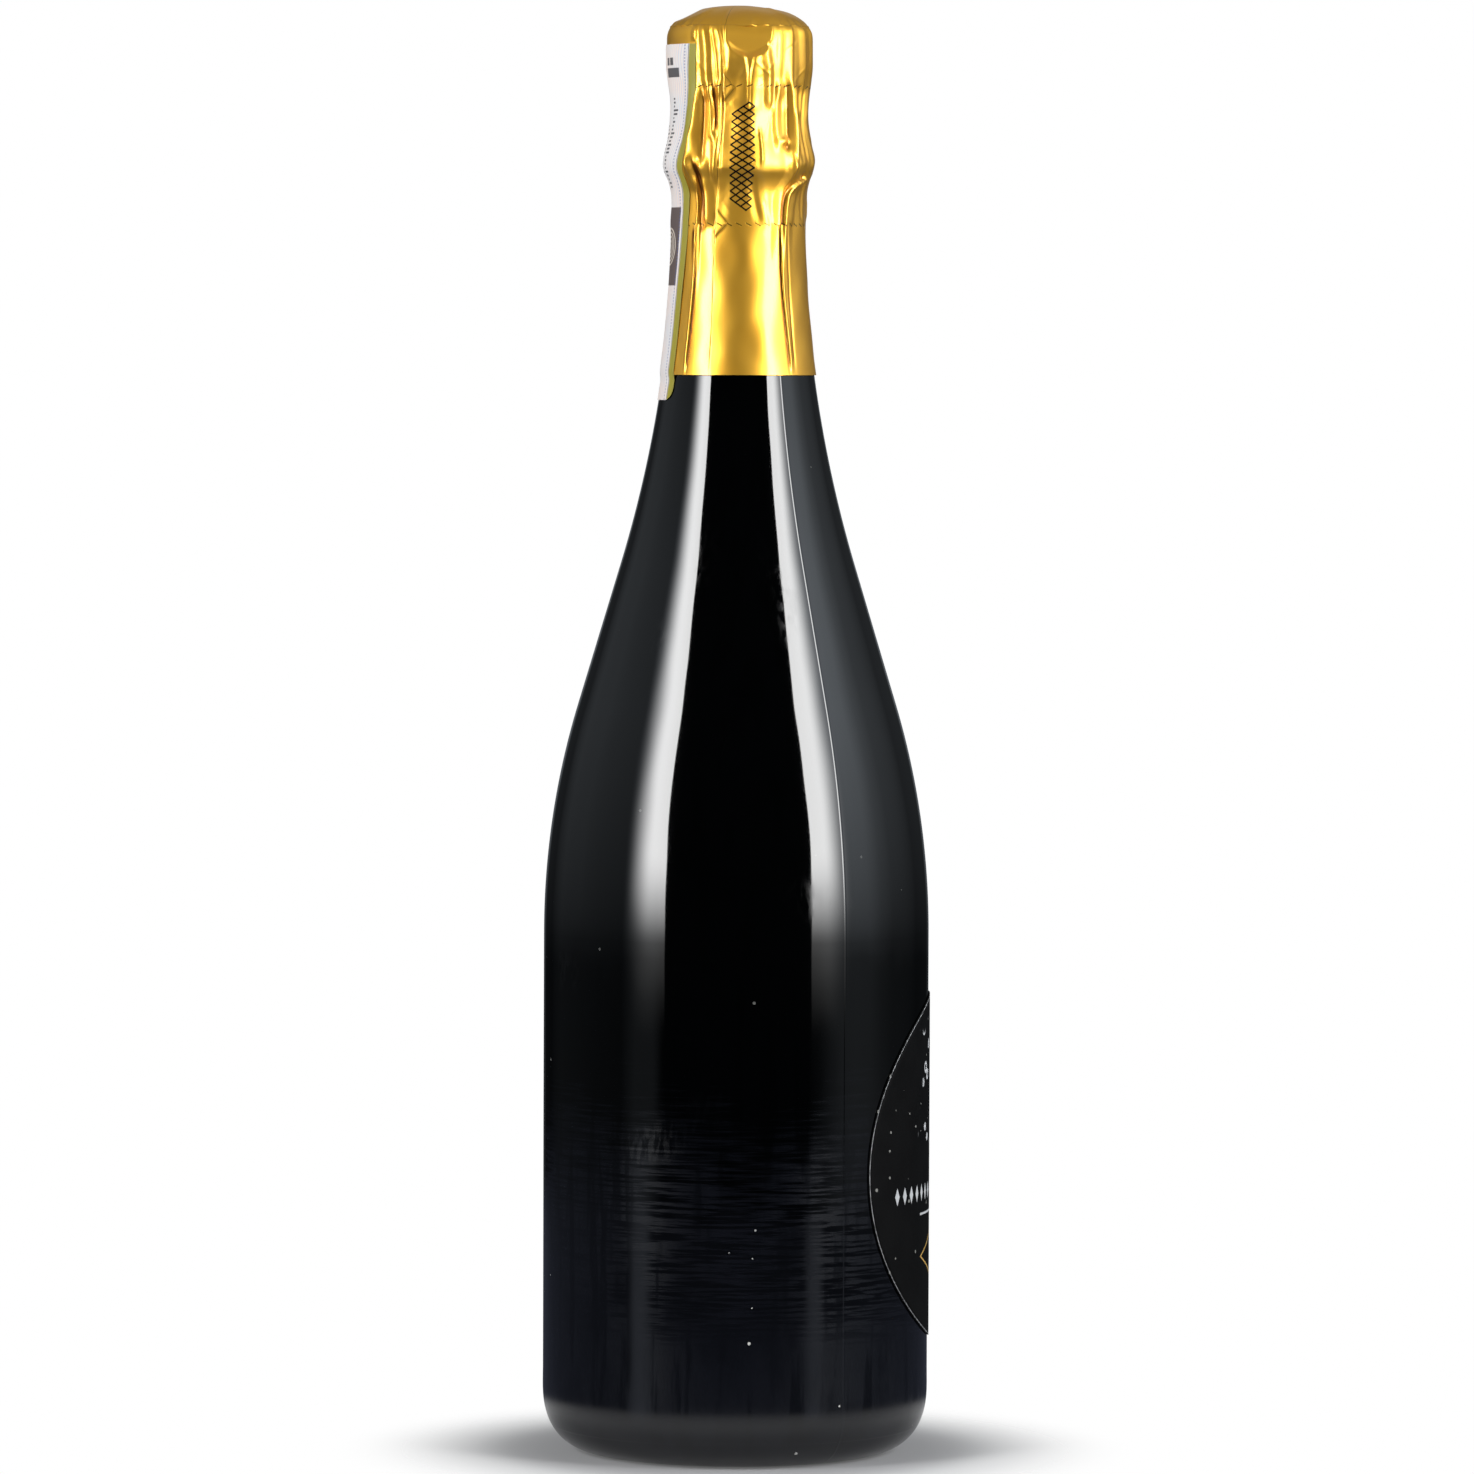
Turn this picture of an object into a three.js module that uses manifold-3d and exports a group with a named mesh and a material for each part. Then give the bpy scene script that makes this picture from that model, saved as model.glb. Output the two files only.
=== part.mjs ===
// Sparkling wine bottle: heavy dark glass closed by a mushroom cork, with a wire cage over the cork, a foil
// hood that tears along two lines, a paper seal strip down one side of the hood and a round paper label.
// Millimetres, +Z up. The origin is the middle of the standing ring, and +X runs through the label's middle.
import * as THREE from 'three';
import Module from 'manifold-3d';

const wasm = await Module();
wasm.setup();

// Glass bottle
const BODY_RADIUS = 43.2;
const BODY_WALL = 4.4;
const SHOULDER_START = 116.6;
const SHOULDER_ARC = 177;
const SHOULDER_SLOPE_DEGREES = 16.7;
const NECK_ARC = 280;
const NECK_RADIUS = 14.45;
const NECK_LENGTH = 22;
const BORE_RADIUS = 9;
const HEEL_HEIGHT = 15.3;
const HEEL_DEPTH = 13.2;
const HEEL_SQUARENESS = 2.4;
const STANDING_RING_WIDTH = 2.6;
const PUNT_DEPTH = 30;
const PUNT_STEEPNESS = 2.2;
const BASE_THICKNESS = 7.5;
const LIP_RADIUS = 14.2;
const LIP_HEIGHT = 5.5;
const LIP_ROUNDING = 1.2;
const COLLAR_RADIUS = 15;
const COLLAR_HEIGHT = 3.6;
const COLLAR_DROP = 9;
const COLLAR_ROUNDING = 0.9;
const NECK_GROOVE_DEPTH = 0.55;
const NECK_GROOVE_HEIGHT = 4;

// Wine
const FILL_DROP = 78;

// Cork
const CORK_INSERT = 24;
const CORK_RISE = 20;
const HEAD_RADIUS = 13.9;
const HEAD_DOME = 30;
const HEAD_CORNER_WIDTH = 3.4;
const HEAD_CORNER_DROP = 6;
const HEAD_FLARE_HEIGHT = 4.5;
const DISC_THICKNESS = 6;

// Wire cage
const WIRE = 0.8;
const PLAQUE_RADIUS = 12;
const PLAQUE_THICKNESS = 0.35;
const CROWN_RADIUS = 8.5;
const BELT_RADIUS = 15.5;
const BELT_DROP = 1.6;
const EYE_PLAY = 0.15;
const LEG_COUNT = 4;
const LEG_TWISTS = 5;
const LEG_TWISTED_SHARE = 0.72;
const KEY_STEM_LENGTH = 8.7;
const KEY_LOOP_HEIGHT = 9.6;
const KEY_LOOP_WIDTH = 7;
const KEY_TWISTS = 1.5;
const KEY_FLAT_SHARE = 0.3;

// Foil hood
const FOIL = 0.2;
const HOOD_CROWN_RISE = 2.7;
const HOOD_CROWN_DROP = 4.5;
const HOOD_CROWN_SQUARENESS = 2.5;
const TOP_DISC_INSET = 0.8;
const FLANGE_WIDTH = 1;
const UPPER_TEAR_RISE = 5;
const LOWER_TEAR_DROP = 12.1;
const WAIST_DROP = 6.8;
const SLEEVE_LENGTH = 33.8;
const PLEAT_DEPTH = 0.35;
const PLEAT_COUNT = 12;
const LEG_RIDGE_DEGREES = 17;
const KEY_RIDGE_DEGREES = 34;
const LIP_SLACK = 0.5;
const HEAD_SLACK = 1.15;

// Paper
const PAPER = 0.25;
const LABEL_RADIUS = 38.7;
const LABEL_HEIGHT = 64.5;
const STRIP_WIDTH = 20;
const STRIP_TOP_DROP = 5.8;
const STRIP_TAIL = 5.6;
const STRIP_TOP_ANGLE_DEGREES = -165;
const STRIP_TAIL_ANGLE_DEGREES = -182;

// Fits
const CLEARANCE = 0.25;
const WINE_GAP = 0.3;
const TEAR_GAP = 0.3;
const GLUE_LINE = 0.1;

// Facets
const BODY_FACETS = 40;
const HOOD_FACETS = 48;
const CORK_FACETS = 32;
const WIRE_SIDES = 6;
const CURVE_STEPS = 5;
const CORNER_STEPS = 4;
const HEEL_STEPS = 7;
const LEG_STEPS = 28;
const RING_STEPS = 40;
const LOOP_STEPS = 16;
const EYE_STEPS = 12;
const STEM_STEPS = 12;
const STRIP_STEPS = 16;
const LABEL_RINGS = 5;
const LABEL_CORNERS = 40;

const { degToRad, lerp } = THREE.MathUtils;
const point2 = (radius, height) => new THREE.Vector2(radius, height);
const range = (count) => Array.from({ length: count }, (_, index) => index);
const spread = (from, to, steps = CURVE_STEPS) => range(steps + 1).map((step) => lerp(from, to, step / steps));
const around = (radius, angle, height) => (
  new THREE.Vector3(radius * Math.cos(angle), radius * Math.sin(angle), height)
);

// How far a circle falls away from its tangent at a distance along the tangent.
const sagitta = (arc, distance) => arc - Math.sqrt(arc ** 2 - distance ** 2);

// Outline of a shoulder: a round shoulder, a straight slope and a hollow neck curve, each tangent to the next.
function shoulderCurve(bodyRadius, neckRadius, shoulderArc, neckArc) {
  const slope = degToRad(SHOULDER_SLOPE_DEGREES);
  const roundEnd = SHOULDER_START + shoulderArc * Math.sin(slope);
  const roundEndRadius = bodyRadius - shoulderArc * (1 - Math.cos(slope));
  const hollowStartRadius = neckRadius + neckArc * (1 - Math.cos(slope));
  const hollowStart = roundEnd + (roundEndRadius - hollowStartRadius) / Math.tan(slope);
  const top = hollowStart + neckArc * Math.sin(slope);
  const radiusAt = (height) => {
    if (height <= SHOULDER_START) return bodyRadius;
    if (height <= roundEnd) return bodyRadius - sagitta(shoulderArc, height - SHOULDER_START);
    if (height <= hollowStart) return roundEndRadius - (height - roundEnd) * Math.tan(slope);
    if (height <= top) return neckRadius + sagitta(neckArc, top - height);
    return neckRadius;
  };
  return { radiusAt, top, heights: [...spread(SHOULDER_START, roundEnd), ...spread(hollowStart, top)] };
}

const outerShoulder = shoulderCurve(BODY_RADIUS, NECK_RADIUS, SHOULDER_ARC, NECK_ARC);
const innerShoulder = shoulderCurve(BODY_RADIUS - BODY_WALL, BORE_RADIUS, SHOULDER_ARC - BODY_WALL, NECK_ARC);

// Heights up the bottle
const rim = outerShoulder.top + NECK_LENGTH;
const collarTop = rim - COLLAR_DROP;
const collarBottom = collarTop - COLLAR_HEIGHT;
const beltHeight = collarBottom - BELT_DROP;
const headTop = rim + CORK_RISE;
const headCorner = headTop - HEAD_CORNER_DROP;
const corkBottom = rim - CORK_INSERT;
const hoodTop = headTop + HOOD_CROWN_RISE;
const crownStart = headTop - HOOD_CROWN_DROP;
const upperTear = rim + UPPER_TEAR_RISE;
const lowerTear = beltHeight - LOWER_TEAR_DROP;
const sleeveBottom = lowerTear - SLEEVE_LENGTH;

// Radii out from the axis
const ringOuter = BODY_RADIUS - HEEL_DEPTH;
const ringInner = ringOuter - STANDING_RING_WIDTH;
const shankRadius = BORE_RADIUS - CLEARANCE;
const legOffset = CLEARANCE + WIRE;
const headLegRadius = HEAD_RADIUS + legOffset;
const collarLegRadius = COLLAR_RADIUS + CLEARANCE + WIRE / 2;
const eyeRadius = WIRE + EYE_PLAY;
const eyeReach = eyeRadius + WIRE / 2;
const grooveRadius = Math.min(NECK_RADIUS - NECK_GROOVE_DEPTH, BELT_RADIUS - eyeReach - CLEARANCE);
const hoodRadius = headLegRadius + WIRE + CLEARANCE + FOIL;
const keyRootRadius = BELT_RADIUS + WIRE / 2 + CLEARANCE + WIRE / 2;
const keyLoopRadius = Math.max(HEAD_RADIUS, LIP_RADIUS) + CLEARANCE + WIRE / 2;

const legAngles = range(LEG_COUNT).map((leg) => (2 * Math.PI * (leg + 0.5)) / LEG_COUNT);
const keyAngle = Math.PI / 2;

// A solid from a list of points and a list of triangles.
function solid(points, triangles) {
  const geometry = new THREE.BufferGeometry();
  const numbers = points.flatMap((p) => [p.x, p.y, p.z]);
  geometry.setAttribute('position', new THREE.Float32BufferAttribute(numbers, 3));
  geometry.setIndex(triangles.flat());
  geometry.computeVertexNormals();
  return geometry;
}

// Two triangles across a four-cornered face.
const face = (a, b, c, d) => [[a, b, c], [a, c, d]];

// A grid of points, row by row, as a closed skin: outer rows outside, inner rows inside, edges joined.
// A grid that closes round the axis has no side edges.
function shell(outerRows, innerRows, closesRound) {
  const rowCount = outerRows.length;
  const columns = outerRows[0].length;
  const spans = closesRound ? columns : columns - 1;
  const outer = (row, column) => row * columns + (column % columns);
  const inner = (row, column) => rowCount * columns + outer(row, column);
  const triangles = [];
  for (const row of range(rowCount - 1)) {
    const above = row + 1;
    for (const column of range(spans)) {
      const next = column + 1;
      triangles.push(...face(outer(row, column), outer(row, next), outer(above, next), outer(above, column)));
      triangles.push(...face(inner(row, next), inner(row, column), inner(above, column), inner(above, next)));
    }
  }
  const last = rowCount - 1;
  for (const column of range(spans)) {
    const next = column + 1;
    triangles.push(...face(inner(0, column), inner(0, next), outer(0, next), outer(0, column)));
    triangles.push(...face(outer(last, column), outer(last, next), inner(last, next), inner(last, column)));
  }
  if (!closesRound) {
    for (const row of range(last)) {
      const above = row + 1;
      triangles.push(...face(inner(row, 0), outer(row, 0), outer(above, 0), inner(above, 0)));
      triangles.push(...face(outer(row, spans), inner(row, spans), inner(above, spans), outer(above, spans)));
    }
  }
  return solid([...outerRows.flat(), ...innerRows.flat()], triangles);
}

// A section carried along a flat curve. sectionAt gives, for a share of the way, the section's points across
// the curve's plane (x, towards planeNormal x tangent) and along planeNormal (y), counterclockwise.
function sweep(curve, planeNormal, steps, closed, sectionAt) {
  const rings = range(closed ? steps : steps + 1).map((step) => {
    const share = step / steps;
    const middle = curve.getPointAt(share);
    const side = planeNormal.clone().cross(curve.getTangentAt(share)).normalize();
    return sectionAt(share).map(([x, y]) => (
      middle.clone().addScaledVector(side, x).addScaledVector(planeNormal, y)
    ));
  });
  const sides = rings[0].length;
  const at = (ring, corner) => (ring % rings.length) * sides + (corner % sides);
  const triangles = [];
  for (const ring of range(steps)) {
    const ahead = ring + 1;
    for (const corner of range(sides)) {
      const next = corner + 1;
      triangles.push(...face(at(ring, corner), at(ring, next), at(ahead, next), at(ahead, corner)));
    }
  }
  if (!closed) {
    for (const corner of range(sides - 2)) {
      triangles.push([at(0, 0), at(0, corner + 2), at(0, corner + 1)]);
      triangles.push([at(steps, 0), at(steps, corner + 1), at(steps, corner + 2)]);
    }
  }
  return solid(rings.flat(), triangles);
}

// Round wire section.
const wireSection = () => range(WIRE_SIDES).map((corner) => {
  const angle = (2 * Math.PI * corner) / WIRE_SIDES;
  return [(WIRE / 2) * Math.cos(angle), (WIRE / 2) * Math.sin(angle)];
});

// Section of two wires laid side by side and turned by an angle: a waisted oval two wires wide.
function pairSection(turn) {
  return range(WIRE_SIDES).map((corner) => {
    const angle = (2 * Math.PI * corner) / WIRE_SIDES;
    const reach = lerp(WIRE / 2, WIRE, Math.cos(angle) ** 2);
    return [reach * Math.cos(angle + turn), reach * Math.sin(angle + turn)];
  });
}

// Solids joined into one body.
function fuse(geometries) {
  const bodies = geometries.map((geometry) => new wasm.Manifold(new wasm.Mesh({
    numProp: 3,
    vertProperties: geometry.getAttribute('position').array,
    triVerts: new Uint32Array(geometry.getIndex().array),
  })));
  const joined = bodies.reduce((whole, body) => whole.add(body)).getMesh();
  const geometry = new THREE.BufferGeometry();
  geometry.setAttribute('position', new THREE.Float32BufferAttribute(joined.vertProperties, 3));
  geometry.setIndex(Array.from(joined.triVerts));
  geometry.computeVertexNormals();
  return geometry;
}

// A profile of radius and height turned round Z.
function turned(profile, facets) {
  const geometry = new THREE.LatheGeometry(profile, facets);
  geometry.rotateX(Math.PI / 2);
  return geometry;
}

// Quarter of a rounded corner between two points, bulging towards the corner where their sides would meet.
function roundedCorner(from, to, corner, steps = CORNER_STEPS, squareness = 2) {
  return spread(0, Math.PI / 2, steps).map((angle) => {
    const toward = 1 - Math.cos(angle) ** (2 / squareness);
    const away = Math.sin(angle) ** (2 / squareness);
    const alongFirst = corner.clone().sub(from).multiplyScalar(away);
    const alongSecond = to.clone().sub(corner).multiplyScalar(toward);
    return from.clone().add(alongFirst).add(alongSecond);
  });
}

// Dome that rises from a springing radius to the axis, steeper towards its edge.
function dome(edgeRadius, edgeHeight, rise) {
  return spread(0, 1).map((share) => (
    point2(edgeRadius * share, edgeHeight + rise * (1 - share ** PUNT_STEEPNESS))
  ));
}

// Inside of the glass from the middle of the base up to the bore, grown inwards by a gap.
const troughRadius = ringInner + STANDING_RING_WIDTH / 2;
function insideBase(gap) {
  const wall = BODY_RADIUS - BODY_WALL - gap;
  const trough = point2(troughRadius, BASE_THICKNESS + gap);
  const heelTop = point2(wall, BASE_THICKNESS + HEEL_HEIGHT);
  const heel = roundedCorner(trough, heelTop, point2(wall, trough.y));
  return [...dome(troughRadius, trough.y, PUNT_DEPTH), ...heel.slice(1)];
}

function glassProfile() {
  const heelTop = point2(BODY_RADIUS, HEEL_HEIGHT);
  const heelCorner = point2(BODY_RADIUS, 0);
  const heel = roundedCorner(point2(ringOuter, 0), heelTop, heelCorner, HEEL_STEPS, HEEL_SQUARENESS);
  const shoulder = outerShoulder.heights.map((height) => point2(outerShoulder.radiusAt(height), height));
  const groove = [point2(grooveRadius, collarBottom - NECK_GROOVE_HEIGHT), point2(grooveRadius, collarBottom)];
  const collar = [
    point2(COLLAR_RADIUS - COLLAR_ROUNDING, collarBottom),
    point2(COLLAR_RADIUS, collarBottom + COLLAR_ROUNDING),
    point2(COLLAR_RADIUS, collarTop - COLLAR_ROUNDING),
    point2(COLLAR_RADIUS - COLLAR_ROUNDING, collarTop),
  ];
  const lipStart = rim - LIP_HEIGHT;
  const lip = [
    point2(grooveRadius, collarTop),
    point2(grooveRadius, lipStart - LIP_ROUNDING),
    point2(LIP_RADIUS, lipStart),
    point2(LIP_RADIUS, rim - LIP_ROUNDING),
    point2(LIP_RADIUS - LIP_ROUNDING, rim),
    point2(BORE_RADIUS, rim),
  ];
  const inside = innerShoulder.heights.map((height) => point2(innerShoulder.radiusAt(height), height));
  return [
    ...dome(ringInner, 0, PUNT_DEPTH),
    ...heel, ...shoulder, ...groove, ...collar, ...lip, ...inside.reverse(), ...insideBase(0).reverse(),
  ];
}

function wineProfile() {
  const level = rim - FILL_DROP;
  const heights = [...innerShoulder.heights.filter((height) => height < level), level];
  const wall = heights.map((height) => point2(innerShoulder.radiusAt(height) - WINE_GAP, height));
  return [...insideBase(WINE_GAP), ...wall, point2(0, level)];
}

// Height of the cork's domed head, or of a dome a little above it.
const headHeight = (radius, rise) => headTop + rise - radius ** 2 / (2 * HEAD_DOME);

function corkBodyProfile() {
  const cornerStart = HEAD_RADIUS - HEAD_CORNER_WIDTH;
  const corner = roundedCorner(
    point2(HEAD_RADIUS, headCorner), point2(cornerStart, headHeight(cornerStart, 0)),
    point2(HEAD_RADIUS, headHeight(cornerStart, 0)));
  const crown = spread(cornerStart, 0, CORNER_STEPS).map((radius) => point2(radius, headHeight(radius, 0)));
  const shankEnd = corkBottom + 2 * DISC_THICKNESS;
  const seat = rim + CLEARANCE;
  return [
    point2(0, shankEnd), point2(shankRadius, shankEnd), point2(shankRadius, seat),
    point2(BORE_RADIUS + CLEARANCE, seat), point2(HEAD_RADIUS, seat + HEAD_FLARE_HEIGHT), ...corner,
    ...crown.slice(1),
  ];
}

function corkDiscProfile(bottom) {
  const top = bottom + DISC_THICKNESS - GLUE_LINE;
  return [point2(0, bottom), point2(shankRadius, bottom), point2(shankRadius, top), point2(0, top)];
}

function plaqueProfile() {
  const radii = spread(0, PLAQUE_RADIUS, CORNER_STEPS);
  const under = radii.map((radius) => point2(radius, headHeight(radius, CLEARANCE)));
  const over = radii.map((radius) => point2(radius, headHeight(radius, CLEARANCE + PLAQUE_THICKNESS)));
  return [...under, ...over.reverse()];
}

const plaqueTop = (radius) => headHeight(radius, CLEARANCE + PLAQUE_THICKNESS);

// Ring of wire that lies flat round the axis.
function flatRing(radius, height, steps = RING_STEPS) {
  const up = new THREE.Vector3(0, 0, 1);
  const points = spread(0, 2 * Math.PI, steps).slice(1).map((angle) => around(radius, angle, height));
  return sweep(new THREE.CatmullRomCurve3(points, true), up, steps, true, wireSection);
}

// Middle line of a leg, as radius and height, from the crown ring over the cork's head down to its foot eye.
const lipMiddle = rim - LIP_HEIGHT / 2;
function legLine() {
  const halfway = (CROWN_RADIUS + PLAQUE_RADIUS) / 2;
  const corner = Math.PI / 6;
  const cornerHeight = headHeight(HEAD_RADIUS - HEAD_CORNER_WIDTH, 0) - headCorner;
  const cornerNormal = point2(Math.cos(corner) / HEAD_CORNER_WIDTH, Math.sin(corner) / cornerHeight);
  const cornerPoint = point2(
    HEAD_RADIUS - HEAD_CORNER_WIDTH * (1 - Math.cos(corner)), headCorner + cornerHeight * Math.sin(corner));
  return [
    point2(CROWN_RADIUS, plaqueTop(CROWN_RADIUS) + CLEARANCE + WIRE / 2),
    point2(halfway, plaqueTop(halfway) + legOffset),
    point2(PLAQUE_RADIUS + legOffset, plaqueTop(PLAQUE_RADIUS)),
    cornerPoint.addScaledVector(cornerNormal.normalize(), legOffset),
    point2(headLegRadius, headCorner),
    point2(headLegRadius, rim + HEAD_FLARE_HEIGHT),
    point2(LIP_RADIUS + legOffset, lipMiddle),
    point2(collarLegRadius, collarTop),
    point2(collarLegRadius, collarBottom),
    point2(BELT_RADIUS, beltHeight + eyeRadius),
  ];
}

// Leg of two wires twisted together; the last stretch over the collar lies flat.
function cageLeg(angle) {
  const sideways = new THREE.Vector3(-Math.sin(angle), Math.cos(angle), 0);
  const line = new THREE.CatmullRomCurve3(legLine().map((p) => around(p.x, angle, p.y)), false, 'centripetal');
  const twistLeft = (share) => Math.max(0, 1 - share / LEG_TWISTED_SHARE);
  const turnAt = (share) => Math.PI * (0.5 + LEG_TWISTS * twistLeft(share));
  return sweep(line, sideways, LEG_STEPS, false, (share) => pairSection(turnAt(share)));
}

// Eye at a leg's foot, round the belt wire.
function footEye(angle) {
  const sideways = new THREE.Vector3(-Math.sin(angle), Math.cos(angle), 0);
  const points = spread(0, 2 * Math.PI, EYE_STEPS).slice(1).map((turn) => (
    around(BELT_RADIUS + eyeRadius * Math.cos(turn), angle, beltHeight + eyeRadius * Math.sin(turn))
  ));
  return sweep(new THREE.CatmullRomCurve3(points, true), sideways.negate(), EYE_STEPS, true, wireSection);
}

function cageFrame() {
  const crown = flatRing(CROWN_RADIUS, plaqueTop(CROWN_RADIUS) + CLEARANCE + WIRE / 2);
  return fuse([crown, ...legAngles.flatMap((angle) => [cageLeg(angle), footEye(angle)])]);
}

// Key: the belt wire's ends twisted into a stem, and the loop that the fingers turn, folded up along the neck.
const keyLoopBottom = beltHeight + KEY_STEM_LENGTH;
const keyLoopTop = keyLoopBottom + KEY_LOOP_HEIGHT;
function cageKey() {
  const outward = around(1, keyAngle, 0);
  const sideways = new THREE.Vector3(-Math.sin(keyAngle), Math.cos(keyAngle), 0);
  const stemLine = new THREE.CatmullRomCurve3([
    around(keyRootRadius, keyAngle, beltHeight),
    around(COLLAR_RADIUS + legOffset, keyAngle, collarBottom + COLLAR_HEIGHT / 2),
    around(keyLoopRadius, keyAngle, keyLoopBottom + WIRE / 2),
  ], false, 'centripetal');
  const turnAt = (share) => Math.PI / 2 + Math.PI * KEY_TWISTS * Math.max(0, share - KEY_FLAT_SHARE);
  const stem = sweep(stemLine, sideways, STEM_STEPS, false, (share) => pairSection(turnAt(share)));
  const middle = (keyLoopBottom + keyLoopTop) / 2;
  const loopPoints = spread(0, 2 * Math.PI, LOOP_STEPS).slice(1).map((turn) => {
    const point = around(keyLoopRadius, keyAngle, middle + (KEY_LOOP_HEIGHT / 2 - WIRE / 2) * Math.sin(turn));
    return point.addScaledVector(sideways, (KEY_LOOP_WIDTH / 2 - WIRE / 2) * Math.cos(turn));
  });
  const loop = sweep(new THREE.CatmullRomCurve3(loopPoints, true), outward, LOOP_STEPS, true, wireSection);
  return fuse([stem, loop]);
}

// Rows of the foil skirt above the lower tear line, from the bottom up. Each has the height, the inner radius
// between the legs, over a leg and over the key, and the share of the pleats' depth.
const overLeg = WIRE + CLEARANCE;
const skirtRows = [
  { height: lowerTear, base: outerShoulder.radiusAt(lowerTear) + CLEARANCE, leg: 0, key: 0, pleats: 0.2 },
  { height: beltHeight - WAIST_DROP, base: NECK_RADIUS + CLEARANCE, leg: 0, key: 0, pleats: 0.6 },
  {
    height: beltHeight - eyeReach - CLEARANCE, base: BELT_RADIUS + WIRE / 2, leg: BELT_RADIUS + eyeReach,
    key: keyRootRadius + WIRE / 2, pleats: 1,
  },
  {
    height: beltHeight + eyeReach, base: BELT_RADIUS + WIRE / 2 + CLEARANCE,
    leg: BELT_RADIUS + eyeReach + CLEARANCE, key: keyRootRadius + overLeg, pleats: 0.6,
  },
  {
    height: collarTop, base: COLLAR_RADIUS + WIRE, leg: collarLegRadius + overLeg,
    key: COLLAR_RADIUS + legOffset + overLeg, pleats: 0.8,
  },
  {
    height: lipMiddle, base: LIP_RADIUS + CLEARANCE + LIP_SLACK, leg: LIP_RADIUS + legOffset + overLeg,
    key: COLLAR_RADIUS + legOffset + overLeg, pleats: 1,
  },
  {
    height: upperTear, base: HEAD_RADIUS + CLEARANCE + HEAD_SLACK, leg: headLegRadius + overLeg,
    key: Math.hypot(keyLoopRadius, KEY_LOOP_WIDTH / 2) + WIRE / 2 + CLEARANCE, pleats: 1,
  },
  {
    height: (upperTear + crownStart) / 2, base: hoodRadius - 2 * FOIL, leg: headLegRadius + overLeg,
    key: 0, pleats: 0.6,
  },
  { height: crownStart, base: hoodRadius - FOIL, leg: headLegRadius + overLeg, key: 0, pleats: 0 },
];

// Share of a ridge of the foil at an angle from its crest.
function ridge(angle, crest, halfWidth) {
  const away = Math.abs(Math.atan2(Math.sin(angle - crest), Math.cos(angle - crest)));
  return away < halfWidth ? 0.5 + 0.5 * Math.cos((Math.PI * away) / halfWidth) : 0;
}

const legRidgeWidth = degToRad(LEG_RIDGE_DEGREES);
const keyRidgeWidth = degToRad(KEY_RIDGE_DEGREES);
function skirtRadius(row, angle, pleatShare) {
  const legShare = Math.max(...legAngles.map((leg) => ridge(angle, leg, legRidgeWidth)));
  const overLegs = Math.max(row.leg - row.base, 0) * legShare;
  const overKey = Math.max(row.key - row.base, 0) * Math.sqrt(ridge(angle, keyAngle, keyRidgeWidth));
  return row.base + Math.max(overLegs, overKey) + PLEAT_DEPTH * row.pleats * pleatShare;
}

const pleatAt = (angle) => 0.5 - 0.5 * Math.cos(PLEAT_COUNT * angle);

const hoodAngles = range(HOOD_FACETS).map((facet) => (2 * Math.PI * facet) / HOOD_FACETS);
const skirtRing = (row, offset) => hoodAngles.map((angle) => (
  around(skirtRadius(row, angle, pleatAt(angle)) + offset, angle, row.height)
));

// Row of the skirt between two rows of the table.
function rowBetween(height) {
  const upper = skirtRows.findIndex((row) => row.height >= height);
  const above = skirtRows[upper];
  const below = skirtRows[Math.max(upper - 1, 0)];
  const share = upper === 0 ? 1 : (height - below.height) / (above.height - below.height);
  const mix = (key) => lerp(below[key], above[key], share);
  return { height, base: mix('base'), leg: mix('leg'), key: mix('key'), pleats: mix('pleats') };
}

const rowsWithin = (low, high) => [
  rowBetween(low), ...skirtRows.filter((row) => row.height > low && row.height < high), rowBetween(high),
];

function tearBand() {
  const rows = rowsWithin(lowerTear + TEAR_GAP / 2, upperTear - TEAR_GAP / 2);
  return shell(rows.map((row) => skirtRing(row, FOIL)), rows.map((row) => skirtRing(row, 0)), true);
}

// Crown of the hood: its outer surface as radius and height, at an angle up from the springing line.
function crownPoint(angle, inset) {
  const power = 2 / HOOD_CROWN_SQUARENESS;
  const rise = hoodTop - crownStart;
  const across = Math.cos(angle) ** power;
  const up = Math.sin(angle) ** power;
  const normal = point2(across / hoodRadius, up / rise).normalize();
  return point2(hoodRadius * across - inset * normal.x, crownStart + rise * up - inset * normal.y);
}

// Angle up the crown where the outer surface has a given radius.
const crownAngle = (radius) => Math.acos((radius / hoodRadius) ** (HOOD_CROWN_SQUARENESS / 2));

const topDiscAngle = crownAngle(hoodRadius - TOP_DISC_INSET);
const flangeAngle = crownAngle(hoodRadius - TOP_DISC_INSET - FLANGE_WIDTH);

function foilCap() {
  const sides = rowsWithin(upperTear + TEAR_GAP / 2, crownStart);
  const under = FOIL + CLEARANCE;
  const crownSteps = [
    [topDiscAngle * 0.45, 0], [topDiscAngle * 0.8, 0], [topDiscAngle * 1.15, under], [flangeAngle, under],
  ];
  const ring = (p) => hoodAngles.map((angle) => around(p.x, angle, p.y));
  const outer = crownSteps.map(([angle, inset]) => ring(crownPoint(angle, inset)));
  const inner = crownSteps.map(([angle, inset]) => ring(crownPoint(angle, inset + FOIL)));
  return shell(
    [...sides.map((row) => skirtRing(row, FOIL)), ...outer],
    [...sides.map((row) => skirtRing(row, 0)), ...inner], true);
}

function topDiscProfile() {
  const angles = spread(topDiscAngle, Math.PI / 2);
  const outer = angles.map((angle) => crownPoint(angle, 0));
  const inner = angles.map((angle) => crownPoint(angle, FOIL));
  outer.at(-1).x = 0;
  inner.at(-1).x = 0;
  return [...inner.reverse(), ...outer];
}

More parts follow.
